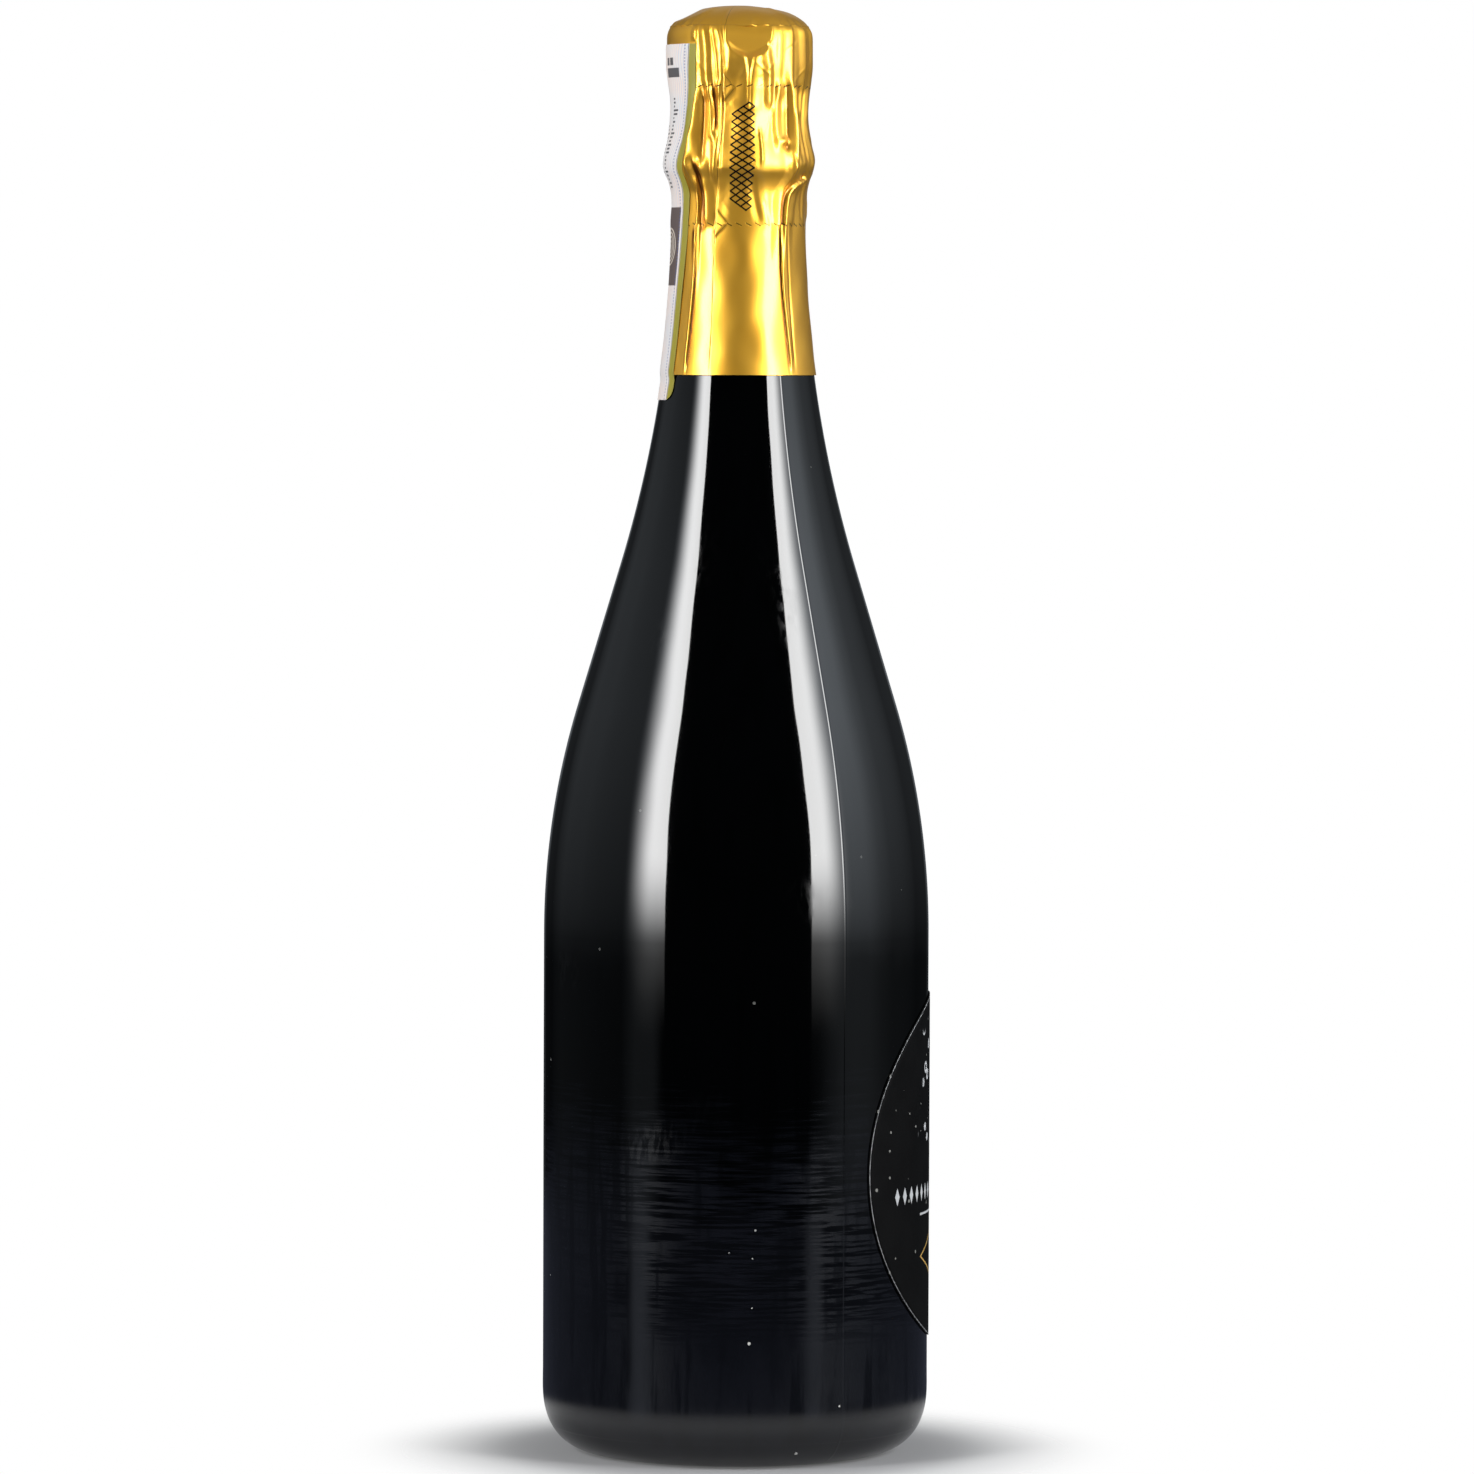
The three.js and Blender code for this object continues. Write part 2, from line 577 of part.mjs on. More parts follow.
function sleeveProfile() {
  const heights = spread(sleeveBottom, lowerTear - TEAR_GAP / 2);
  const wall = (offset) => heights.map((height) => point2(outerShoulder.radiusAt(height) + offset, height));
  const inner = wall(CLEARANCE).reverse();
  return [...inner, ...wall(CLEARANCE + FOIL), inner[0].clone()];
}

// Seal strip: a band of paper over the hood, the sleeve and a little of the glass, leaning round the neck.
const stripTop = headTop - STRIP_TOP_DROP;
const stripBottom = sleeveBottom - STRIP_TAIL;
function sealStrip(rows) {
  const middleAngle = (height) => degToRad(lerp(
    STRIP_TAIL_ANGLE_DEGREES, STRIP_TOP_ANGLE_DEGREES, (height - stripBottom) / (stripTop - stripBottom)));
  const columns = spread(-STRIP_WIDTH / 2, STRIP_WIDTH / 2, STRIP_STEPS);
  const grid = (offset) => rows.map((row) => columns.map((across) => {
    const angle = middleAngle(row.height) + across / row.base;
    return around(skirtRadius(row, angle, 1) + FOIL + CLEARANCE + offset, angle, row.height);
  }));
  return shell(grid(PAPER), grid(0), false);
}

const stripUpperRows = () => rowsWithin(lowerTear + TEAR_GAP / 2, stripTop);

function stripLowerRows() {
  return spread(stripBottom, lowerTear - TEAR_GAP / 2).map((height) => (
    { height, base: outerShoulder.radiusAt(height) + CLEARANCE, leg: 0, key: 0, pleats: 0 }
  ));
}

// Round label wrapped on the body, from its middle out in rings.
function wrappedLabel() {
  const rings = LABEL_RINGS;
  const corners = LABEL_CORNERS;
  const wrap = (radius) => {
    const at = (distance, turn) => around(
      radius, (distance * Math.cos(turn)) / BODY_RADIUS, LABEL_HEIGHT + distance * Math.sin(turn));
    const ringPoints = range(rings).flatMap((ring) => range(corners).map((corner) => (
      at((LABEL_RADIUS * (ring + 1)) / rings, (2 * Math.PI * corner) / corners)
    )));
    return [at(0, 0), ...ringPoints];
  };
  const outer = wrap(BODY_RADIUS + CLEARANCE + PAPER);
  const inner = wrap(BODY_RADIUS + CLEARANCE);
  const at = (ring, corner) => 1 + ring * corners + (corner % corners);
  const under = outer.length;
  const triangles = [];
  for (const corner of range(corners)) {
    triangles.push([0, at(0, corner), at(0, corner + 1)]);
    triangles.push([under, under + at(0, corner + 1), under + at(0, corner)]);
    for (const ring of range(rings - 1)) {
      const quad = [at(ring, corner), at(ring + 1, corner), at(ring + 1, corner + 1), at(ring, corner + 1)];
      triangles.push(...face(...quad));
      triangles.push(...face(...quad.reverse().map((index) => under + index)));
    }
    const edge = [at(rings - 1, corner), at(rings - 1, corner + 1)];
    triangles.push(...face(edge[0], under + edge[0], under + edge[1], edge[1]));
  }
  return solid([...outer, ...inner], triangles);
}

const finish = (color, roughness, metalness) => new THREE.MeshStandardMaterial({ color, roughness, metalness });
const darkGlass = finish(0x07090a, 0.06, 0);
const paleWine = finish(0xc9a64a, 0.05, 0);
const goldFoil = finish(0xd9a52e, 0.28, 1);
const blackPaper = finish(0x0d0d0f, 0.6, 0);
const sealPaper = finish(0xe9e4da, 0.7, 0);
const groundCork = finish(0xc79a63, 0.9, 0);
const naturalCork = finish(0xb98552, 0.9, 0);
const zincWire = finish(0xb6b8ba, 0.4, 1);
const goldPlate = finish(0xc9a13f, 0.3, 1);

function piece(name, geometry, material) {
  const mesh = new THREE.Mesh(geometry, material);
  mesh.name = name;
  return mesh;
}

function group(...children) {
  const holder = new THREE.Group();
  holder.add(...children);
  return holder;
}

const hood = group(
  piece('foil_top_disc', turned(topDiscProfile(), HOOD_FACETS), goldFoil),
  piece('foil_cap', foilCap(), goldFoil),
  piece('foil_tear_band', tearBand(), goldFoil),
  piece('seal_strip_upper', sealStrip(stripUpperRows()), sealPaper),
);

const key = piece('cage_key', cageKey(), zincWire);

const cage = group(
  piece('cage_plaque', turned(plaqueProfile(), CORK_FACETS), goldPlate),
  piece('cage_frame', cageFrame(), zincWire),
  piece('cage_belt', flatRing(BELT_RADIUS, beltHeight), zincWire),
  key,
  hood,
);

const cork = group(
  piece('cork_body', turned(corkBodyProfile(), CORK_FACETS), groundCork),
  piece('cork_disc_upper', turned(corkDiscProfile(corkBottom + DISC_THICKNESS), CORK_FACETS), naturalCork),
  piece('cork_disc_lower', turned(corkDiscProfile(corkBottom), CORK_FACETS), naturalCork),
  cage,
);

const bottle = group(
  piece('glass_bottle', turned(glassProfile(), BODY_FACETS), darkGlass),
  piece('wine', turned(wineProfile(), CORK_FACETS), paleWine),
  piece('front_label', wrappedLabel(), blackPaper),
  piece('foil_sleeve', turned(sleeveProfile(), BODY_FACETS), goldFoil),
  piece('seal_strip_lower', sealStrip(stripLowerRows()), sealPaper),
  cork,
);

export default bottle;
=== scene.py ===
"""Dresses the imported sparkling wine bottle: glass, wine, label, foil hood, seal strip, cork and wire cage."""

import math

import bpy
import numpy as np
from bpy.props import FloatProperty, FloatVectorProperty, IntProperty, PointerProperty
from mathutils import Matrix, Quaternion, Vector


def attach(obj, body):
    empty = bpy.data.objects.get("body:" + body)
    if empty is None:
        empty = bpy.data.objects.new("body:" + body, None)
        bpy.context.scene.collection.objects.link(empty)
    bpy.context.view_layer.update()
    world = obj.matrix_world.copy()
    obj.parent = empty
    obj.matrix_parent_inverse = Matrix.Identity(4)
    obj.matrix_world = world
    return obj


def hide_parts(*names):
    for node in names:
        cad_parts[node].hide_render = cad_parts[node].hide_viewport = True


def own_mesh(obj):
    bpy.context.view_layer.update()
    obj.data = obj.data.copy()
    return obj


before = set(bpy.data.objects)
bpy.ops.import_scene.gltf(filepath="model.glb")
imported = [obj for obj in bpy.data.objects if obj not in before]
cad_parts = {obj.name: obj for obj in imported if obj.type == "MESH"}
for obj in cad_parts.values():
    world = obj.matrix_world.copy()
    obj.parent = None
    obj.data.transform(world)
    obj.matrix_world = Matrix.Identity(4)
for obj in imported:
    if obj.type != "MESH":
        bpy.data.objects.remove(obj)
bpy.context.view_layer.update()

bl_info = {
    "name": "Sparkling Wine Bottle",
    "version": (1, 0, 0),
    "blender": (4, 5, 0),
    "location": "View3D > Sidebar > Bottle",
    "description": "Makes the bottle's glass, paper, foil, cork and wire pieces over the packed part",
    "category": "Object",
}

MM = 0.001
UP = np.array([0, 0, 1.0])
WHITE = (1, 1, 1, 1)

# Glass, in millimetres
BODY_RADIUS = 43.2
BODY_WALL = 4.4
SHOULDER_START = 116.6
SHOULDER_ARC = 177.0
SHOULDER_SLOPE = math.radians(16.7)
NECK_ARC = 280.0
NECK_RADIUS = 14.45
BORE_RADIUS = 9.0
NECK_TOP = 279.5
RIM = 301.5
GROOVE_RADIUS = 13.9
GROOVE_BOTTOM = 284.0
COLLAR_RADIUS = 15.0
COLLAR_BOTTOM = 288.9
COLLAR_TOP = 292.5
LIP_RADIUS = 14.2
LIP_BOTTOM = 295.0
RING_INNER = 27.4
RING_OUTER = 30.0
HEEL_HEIGHT = 15.3
HEEL_SQUARENESS = 2.4
PUNT_DEPTH = 30.0
PUNT_STEEPNESS = 2.2
BASE_THICKNESS = 7.5

# Cork and cage, in millimetres
CORK_BOTTOM = 277.5
CORK_DISC = 6.0
SHANK_RADIUS = 8.75
HEAD_RADIUS = 13.9
HEAD_TOP = 321.5
HEAD_CORNER = 315.5
HEAD_CORNER_WIDTH = 3.4
HEAD_DOME = 30.0
HEAD_FLARE = 4.5
FIT = 0.25
PLAQUE_RADIUS = 12.0
PLAQUE_THICKNESS = 0.35
CROWN_RADIUS = 8.5
BELT_RADIUS = 15.5
BELT_HEIGHT = 287.3
EYE_RADIUS = 0.95
LEG_OFFSET = 1.05
HEAD_LEG_RADIUS = 14.95
COLLAR_LEG_RADIUS = 15.65
LEG_TURNS = (45.0, 135.0, 225.0, 315.0)
KEY_TURN = 90.0
KEY_ROOT_RADIUS = 16.55
KEY_LOOP_RADIUS = 14.85
KEY_LOOP_BOTTOM = 296.0
KEY_LOOP_TOP = 305.6
KEY_LOOP_WIDTH = 7.0
FLAP_HALF_TURN = 15.0
FLAP_BOTTOM = 285.9

# Foil and paper, in millimetres
FOIL_WALL = 0.12
PAPER_WALL = 0.14
SLEEVE_BOTTOM = 241.4
SLEEVE_LIFT = 0.42
SLEEVE_LEAST = 0.25
LOWER_TEAR = 274.8
UPPER_TEAR = 305.5
CROWN_START = 316.0
HOOD_TOP = 323.75
HOOD_RADIUS = 16.2
HOOD_SQUARENESS = 2.33
DISC_RADIUS = 15.4
DISC_ANGLE = math.acos((DISC_RADIUS / HOOD_RADIUS) ** (HOOD_SQUARENESS / 2))
FOIL_MEAN_RADIUS = 15.8
STRIP_BOTTOM = 235.8
STRIP_TOP = 314.9
STRIP_HALF_WIDTH = 10.0
STRIP_CORNER = 2.6
STRIP_LIFT = 0.46
LABEL_RADIUS = 38.7
LABEL_HEIGHT = 64.5
LABEL_FRONT = 0.32
LABEL_BACK = 0.06
SEAL_PANEL_HEIGHT = 270.0
SEAL_PANEL_ASIDE = 1.2
BELT_LEDGE = 286.7
TONGUE_LINES = (UPPER_TEAR - 0.5, LOWER_TEAR + 0.3)
TONGUE_HALF = 3.1
FLAT_RADIUS = 15.75
FLAT_FOOT = 312.3
FLAT_TURN = 8
NICKS = 44
LATTICE_WIDTH = 2.5
LATTICE_RISE = 1.7

# Stage, in metres
FLOOR_RADIUS = 0.18
ROOM_RADIUS = 3.0
ROOM_FOOT = -0.25
ROOM_TOP = 3.0
STAGE_SIDES = 96
SOFTBOX_DISTANCE = 0.8
SOFTBOX_WIDTH = 0.43
SOFTBOX_FOOT = 0.03
SOFTBOX_TOP = 0.69

# Tone of the studio walls round the bottle: turn from the camera, and brightness.
WALL_TONES = (
    (-180, 0.5), (-166, 0.5), (-160, 0.08), (-144, 0.1), (-128, 0.38), (-108, 0.5), (-72, 0.42), (-62, 1.5), (-50, 1.5),
    (-44, 0.02), (-40, 0.001), (44, 0.001), (50, 0.4), (66, 2.4), (76, 2.5), (86, 2.2), (97, 1.25), (107, 0.74),
    (120, 0.5), (136, 0.18), (160, 0.1), (166, 0.5), (180, 0.5),
)

# Turn, in degrees, of the side of the foil that its folds are counted from.
FOLD_SIDE = -93.9

# Turns at heights up the neck: of the seal strip's middle, and of the foil's lap counted from the folds' side.
STRIP_PATH = (
    (235, -181.6), (243, -182.2), (259, -183.6), (274, -180.3), (286, -176.8), (298, -171.1), (306, -166.6),
    (316, -164.3),
)
SEAM_PATH = ((240, -22.2), (251, -21.8), (272, -20.6), (284, -17), (299, -13.3), (324, -11.5))

# Outer radius of the foil hood at heights up the bottle, between the legs, over a leg and over the key.
HOOD_OUTLINE = (
    (268, 15.1), (274.8, 15), (279, 14.9), (282.5, 15.1), (285, 15.8), (286.7, 16.5), (288.5, 16.75), (290.8, 16.5),
    (294, 15.8), (297.5, 15.3), (301, 15.2), (304, 15.4), (307, 15.8), (310, 16.15),
    (313.5, 16.2), (317, 16.2),
)
LEG_OUTLINE = (
    (268, 14), (276, 14.5), (282, 15), (285, 16.5), (287.4, 17.3), (289.6, 17.1), (292.5, 16.9),
    (298.7, 16.45), (306.5, 16.25), (312, 16.3), (317, 16.2),
)
KEY_OUTLINE = (
    (268, 14), (276, 14.5), (282.5, 15), (285.5, 17), (288, 17.8), (292.5, 17.3), (298.7, 17.3),
    (303, 16.7), (306.5, 16.15), (317, 16.2),
)

# Least outer radius of the hood, over the glass, the belt, the collar, the lip and the cork.
FLOOR_OUTLINE = (
    (268, 14.9), (276, 14.75), (283, 14.8), (285.8, 15.7), (287.3, 16.1), (289, 15.9), (291.5, 15.5), (294, 14.9),
    (300, 14.6), (307, 14.6), (313, 14.7), (317, 14.9),
)

# Main folds of the hood: a path of heights and turns, how far the fold stands out, its widths to the left and to the
# right, how round its crest is and, for a few, the length over which the lower end dies away.
FOLDS = (
    # Cap
    (((311, -36.5), (320, -37.5)), 0.5, 1.3, 0.8, 0.2),
    (((303, -27), (310, -27), (315, -27.8), (320, -31)), 0.8, 1.6, 1.3, 0.3),
    (((303, -18.2), (309.5, -17.9), (317.6, -22)), -0.28, 0.45, 0.45, 0.3),
    (((303, -14.6), (310, -14.2), (315, -15), (320, -20)), 0.75, 1.9, 0.8, 0.3),
    (((308, -9), (313, -7.5), (319, -8)), 0.45, 1.1, 2.5, 0.2),
    (((302, 5.6), (308, 5.2), (313.5, 1.5)), 0.5, 2.4, 0.8, 0.35),
    (((300, 10.2), (307, 10.2), (313.5, 14)), 0.7, 0.8, 3, 0.3),
    (((301, 25.8), (309, 24), (314, 22), (319, 25)), 0.7, 1.6, 1.2, 0.28),
    (((303, 34.5), (311, 33.5), (320, 35)), 0.3, 1.2, 1.5, 0.4),
    (((300, 45.5), (310, 44.5), (320, 45.5)), 0.7, 2.2, 1, 0.25),
    (((299, 61), (309, 62.5), (320, 61)), 0.8, 2.2, 1.1, 0.25),
    (((299, 79), (309, 80.5), (320, 79)), 0.55, 1.8, 1.4, 0.25),
    # Band above the belt
    (((285.5, 6), (296, 8), (306, 7)), 0.75, 4.5, 6, 0.3),
    (((295, -40), (304, -36)), 0.55, 0.9, 2.2, 0.25),
    (((288, -29.5), (296, -30.5), (305.5, -30.5)), -0.38, 0.9, 0.8, 0.15),
    (((294, -23), (300, -24.5), (306, -25)), 0.55, 0.8, 0.7, 0.15),
    (((295.5, -20.3), (299, -19.6), (304, -21.8)), -0.65, 0.55, 0.5, 0.2),
    (((291, -17), (298, -16.4), (306, -17.2)), 0.6, 0.7, 0.7, 0.2),
    (((284.8, -20.2), (290, -19.2), (297, -21.5)), 0.85, 0.95, 0.9, 0.35),
    (((287, -15), (295, -14.6), (303, -13.6)), -0.35, 0.4, 0.5, 0.15),
    (((291.5, 33), (300, 32.2), (306, 34)), 0.5, 1.3, 1.6, 0.2),
    (((292.5, 42), (299, 42.8), (306, 41.5)), -0.45, 1, 0.9, 0.15),
    (((286.5, 47), (294, 49.8), (305.5, 49)), 0.8, 1.2, 0.8, 0.12),
    (((289, 57), (297, 58.5), (305, 57)), -0.45, 0.9, 1, 0.2),
    (((289, 66), (297, 66.5), (305, 68)), -0.55, 1.1, 1, 0.2),
    (((287, 77), (297, 74.5), (305, 75)), 0.6, 1.3, 1.1, 0.2),
    (((287, -41.5), (291, -43), (295.5, -41)), 0.8, 0.6, 3, 0.2),
    (((288.2, 17.6), (292, 17.6), (295.6, 16.8)), 0.32, 0.5, 0.5, 0.35),
    # Waist under the belt and down on to the sleeve
    (((256, -39.4), (271, -38.4), (280.4, -37), (286, -39.5), (290, -42)), 1.05, 0.6, 1.2, 0.15, 22),
    (((274, -34), (281, -33.8), (286, -35.5), (289, -37)), -0.7, 1.3, 1.3, 0.2),
    (((275, -28.2), (281, -28.8), (285.5, -30), (289, -30.5)), 1, 0.9, 2.2, 0.2),
    (((276, -9), (282, -6), (286, -3)), 0.22, 1.8, 1.4, 0.4),
    (((276, 17), (282, 12), (286, 10)), -0.3, 1.6, 1.2, 0.3),
    (((274.5, 25.5), (281, 23), (286, 21)), 0.3, 2.2, 1.8, 0.4),
    (((256, 36.6), (274.5, 36.4), (279.5, 37.4), (282, 39.5), (284.6, 43.5), (286.6, 45.8), (290, 45)),
     0.6, 2.2, 0.6, 0.15, 22),
    (((256, 41.4), (274.5, 41.8), (277, 42.6), (279.5, 43.8), (282, 47), (284.2, 58), (285.4, 72)),
     1, 0.7, 3, 0.12, 22),
    (((275, 50), (281, 55), (285.5, 66)), 0.45, 1.8, 1.4, 0.3),
    (((276, 68), (282, 70), (287, 76)), -0.4, 1.2, 1, 0.3),
)

# Long folds of the sleeve alone.
SLEEVE_FOLDS = (
    (((238, -44.6), (260.6, -40.9), (276, -38.6)), 0.34, 0.55, 0.4, 0.15),
    (((238, -42.9), (260.6, -39.2), (276, -36.9)), -0.45, 0.3, 0.4, 0.15),
    (((238, 42.4), (251.4, 40.4), (260.6, 38), (276, 36.2)), -0.45, 0.4, 0.3, 0.15),
    (((238, 44.1), (251.4, 42.1), (260.6, 39.7), (276, 37.9)), 0.34, 0.4, 0.55, 0.15),
    (((238, 47), (260.6, 46.6), (276, 44)), -0.2, 0.5, 0.6, 0.15),
    (((236, 131), (277, 128)), 0.22, 0.8, 0.7, 0.2), (((236, -146), (277, -150)), -0.2, 0.8, 0.7, 0.2),
)

# Dents and bosses of the hood: turn, height, how far it stands out, and its reach round and up.
BOSSES = (
    (-37.2, 291, 0.25, 1.9, 2.8), (38.5, 293.4, 0.65, 1.2, 0.8), (41, 291.9, -0.55, 0.8, 0.7), (88, 290, 0.3, 2, 2.2),
    (23, 314.8, -0.55, 0.7, 0.8), (63, 285.6, -1, 0.8, 0.7), (6, 311.8, 0.3, 4, 1.4), (57.5, 288.8, 0.45, 1.6, 1.5),
    (-33, 285.6, -0.5, 1.4, 1.2), (17.2, 294.2, 0.1, 0.6, 0.55), (17.4, 292.5, 0.1, 0.55, 0.5),
    (17.6, 290.8, 0.1, 0.6, 0.55), (17.6, 289.2, 0.1, 0.5, 0.5), (4, 296, 0.15, 3, 5),
)


def ramp(value, low, high):
    """Rises from 0 at low to 1 at high as 3t^2 - 2t^3."""
    share = np.clip((value - low) / (high - low), 0.0, 1.0)
    return share * share * (3.0 - 2.0 * share)


def bell(value, width, power=2):
    """1 at 0, falling off each side as exp(-(value / width)^power)."""
    return np.exp(-(value / width) ** power)


def wrap(turn):
    """An angle in degrees brought between -180 and 180."""
    return (turn + 180.0) % 360.0 - 180.0


def pairs(first, second):
    """Rows of two numbers, one from each list."""
    return np.stack([first, second], -1)


def unit(rows):
    """Rows of vectors brought to a length of 1."""
    return rows / np.linalg.norm(rows, axis=1, keepdims=True)


def smooth_curve(at, knots):
    """Cubic pieces through the knots; each knot's slope is that of the chord between its neighbours."""
    x, y = np.array(knots, float).T
    slope = np.gradient(y, x)
    piece = np.clip(np.searchsorted(x, at) - 1, 0, len(x) - 2)
    span = x[piece + 1] - x[piece]
    t = np.clip((at - x[piece]) / span, 0.0, 1.0)
    near = (1 + 2 * t) * (1 - t) ** 2 * y[piece] + t * (1 - t) ** 2 * span * slope[piece]
    return near + t ** 2 * (3 - 2 * t) * y[piece + 1] + t ** 2 * (t - 1) * span * slope[piece + 1]


def knotted(knots, steps):
    """A smooth line through knots of radius and height, at even shares of their length, and those shares."""
    knots = np.array(knots)
    length = np.concatenate([[0], np.cumsum(np.linalg.norm(np.diff(knots, axis=0), axis=1))])
    share = np.linspace(0, 1, steps)
    return np.stack([smooth_curve(share * length[-1], pairs(length, column)) for column in knots.T], -1), share


def waves(turn, height, seed, count, around, along):
    """Sum of count sine waves over turn and height, with whole numbers of waves round the axis, scaled to about 1."""
    rng = np.random.default_rng(seed)
    total = np.zeros(np.broadcast(turn, height).shape)
    for _ in range(count):
        rounds = rng.integers(around[0], around[1] + 1)
        climb = rng.uniform(along[0], along[1]) * rng.choice((-1, 1))
        total += np.sin(np.radians(turn) * rounds + height * climb + rng.uniform(0, 2 * math.pi))
    return total / math.sqrt(count)


def patch(grid, closed=False, start=None, end=None):
    """Points and faces of a grid of points whose rows each close on themselves. The last row may join the first, and
    a pole at the start or the end closes the first or last row with a fan."""
    rows, columns = grid.shape[:2]
    index = np.arange(rows * columns).reshape(rows, columns)
    lower, upper = (index, np.roll(index, -1, 0)) if closed else (index[:-1], index[1:])
    quads = np.stack([lower, np.roll(lower, -1, 1), np.roll(upper, -1, 1), upper], -1).reshape(-1, 4)
    points, fans = [grid.reshape(-1, 3)], [np.empty((0, 3), int)]
    for pole, ring, order in ((start, index[0], (0, 2, 1)), (end, index[-1], (0, 1, 2))):
        if pole is not None:
            tip = np.full(columns, rows * columns + len(points) - 1)
            points.append(np.reshape(pole, (1, 3)))
            fans.append(np.stack([tip, ring, np.roll(ring, -1)], -1)[:, order])
    return np.concatenate(points), quads, np.concatenate(fans)


def edge_wall(front, back):
    """Faces along a cut edge, from its points on the front to those on the back."""
    return np.stack([front[:-1], front[1:], back[1:], back[:-1]], -1)


def linked(name, data):
    """A new object in the scene."""
    made = bpy.data.objects.new(name, data)
    bpy.context.scene.collection.objects.link(made)
    return made


def meshed(name, points, faces, finish):
    """A new mesh object of one finish, from points in metres."""
    mesh = bpy.data.meshes.new(name)
    mesh.from_pydata(points.tolist(), [], faces)
    mesh.materials.append(finish)
    return linked(name, mesh)


def place(name, patches, finish, body, slot, *nodes, **values):
    """One mesh object from patches in millimetres, riding on a body in place of CAD nodes. Each of the values is a
    named measure at each point, such as the depth of the folds, for its finish."""
    points, faces, count = [], [], 0
    for part, quads, fans in patches:
        points.append(part)
        faces += (quads + count).tolist() + (fans + count).tolist()
        count += len(part)
    piece = meshed(name, np.concatenate(points) * MM, faces, finish)
    mesh = piece.data
    mesh.polygons.foreach_set("use_smooth", np.ones(len(faces), bool))
    mesh.validate()
    for measure, amounts in values.items():
        mesh.attributes.new(measure, "FLOAT", "POINT").data.foreach_set("value", amounts)
    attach(piece, body)
    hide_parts(*nodes)
    return piece


def turns(columns):
    """Turns of the columns of a surface that closes round the axis, in degrees."""
    return np.arange(columns) * 360.0 / columns


def polar(radius, turn, height):
    """Points from radius, turn in degrees and height."""
    radius, turn, height = np.broadcast_arrays(radius, np.radians(turn), height)
    return np.stack([radius * np.cos(turn), radius * np.sin(turn), height], -1)


def lathe(profile, columns):
    """A profile of radius and height turned round the axis; ends on the axis become poles."""
    profile = np.array(profile, float)
    first, last = profile[0, 0] == 0.0, profile[-1, 0] == 0.0
    inner = profile[int(first):len(profile) - int(last)]
    start = profile[0, 1] * UP if first else None
    end = profile[-1, 1] * UP if last else None
    return patch(polar(inner[:, :1], turns(columns), inner[:, 1:]), not first, start, end)


def tube(path, across, radius, sides=10, closed=False):
    """A round section carried along a path. across is a direction that the path never runs along: the section's
    first axis is across x tangent and its second is tangent x first."""
    tangent = unit(np.roll(path, -1, 0) - np.roll(path, 1, 0) if closed else np.gradient(path, axis=0))
    first = unit(np.cross(across, tangent))
    second = np.cross(tangent, first)
    angle = (np.arange(sides) * 2 * math.pi / sides)[None, :, None]
    grid = path[:, None] + radius * (np.cos(angle) * first[:, None] + np.sin(angle) * second[:, None])
    return patch(grid, closed=True) if closed else patch(grid, start=path[0], end=path[-1])


def glass_radius(height, body=BODY_RADIUS, neck=NECK_RADIUS, arc=SHOULDER_ARC):
    """Radius of the glass at a height: an upright body, a round shoulder of one arc, a straight slope and a hollow
    neck curve of another arc, each tangent to the next."""
    sine, cosine, tangent = math.sin(SHOULDER_SLOPE), math.cos(SHOULDER_SLOPE), math.tan(SHOULDER_SLOPE)
    round_end = SHOULDER_START + arc * sine
    round_radius = body - arc * (1 - cosine)
    hollow_radius = neck + NECK_ARC * (1 - cosine)
    hollow_start = round_end + (round_radius - hollow_radius) / tangent
    top = hollow_start + NECK_ARC * sine
    rise = np.clip(height - SHOULDER_START, 0, arc * sine)
    drop = np.clip(top - height, 0, NECK_ARC * sine)
    shoulder = body - arc + np.sqrt(arc ** 2 - rise ** 2)
    slope = round_radius - (height - round_end) * tangent
    hollow = neck + NECK_ARC - np.sqrt(NECK_ARC ** 2 - drop ** 2)
    return np.where(height < round_end, shoulder, np.where(height < hollow_start, slope, hollow))


def rounded(points, radius, steps=5):
    """A line of radius and height points with each inner corner cut back by radius and rounded by a parabola."""
    points = np.array(points, float)
    line = [points[:1]]
    share = np.linspace(0, 1, steps)[:, None]
    for before, corner, after in zip(points[:-2], points[1:-1], points[2:]):
        cuts = []
        for end in (before, after):
            length = np.linalg.norm(end - corner)
            cuts.append(corner + (end - corner) / length * min(radius, 0.45 * length))
        line.append((1 - share) ** 2 * cuts[0] + 2 * share * (1 - share) * corner + share ** 2 * cuts[1])
    return np.concatenate(line + [points[-1:]])


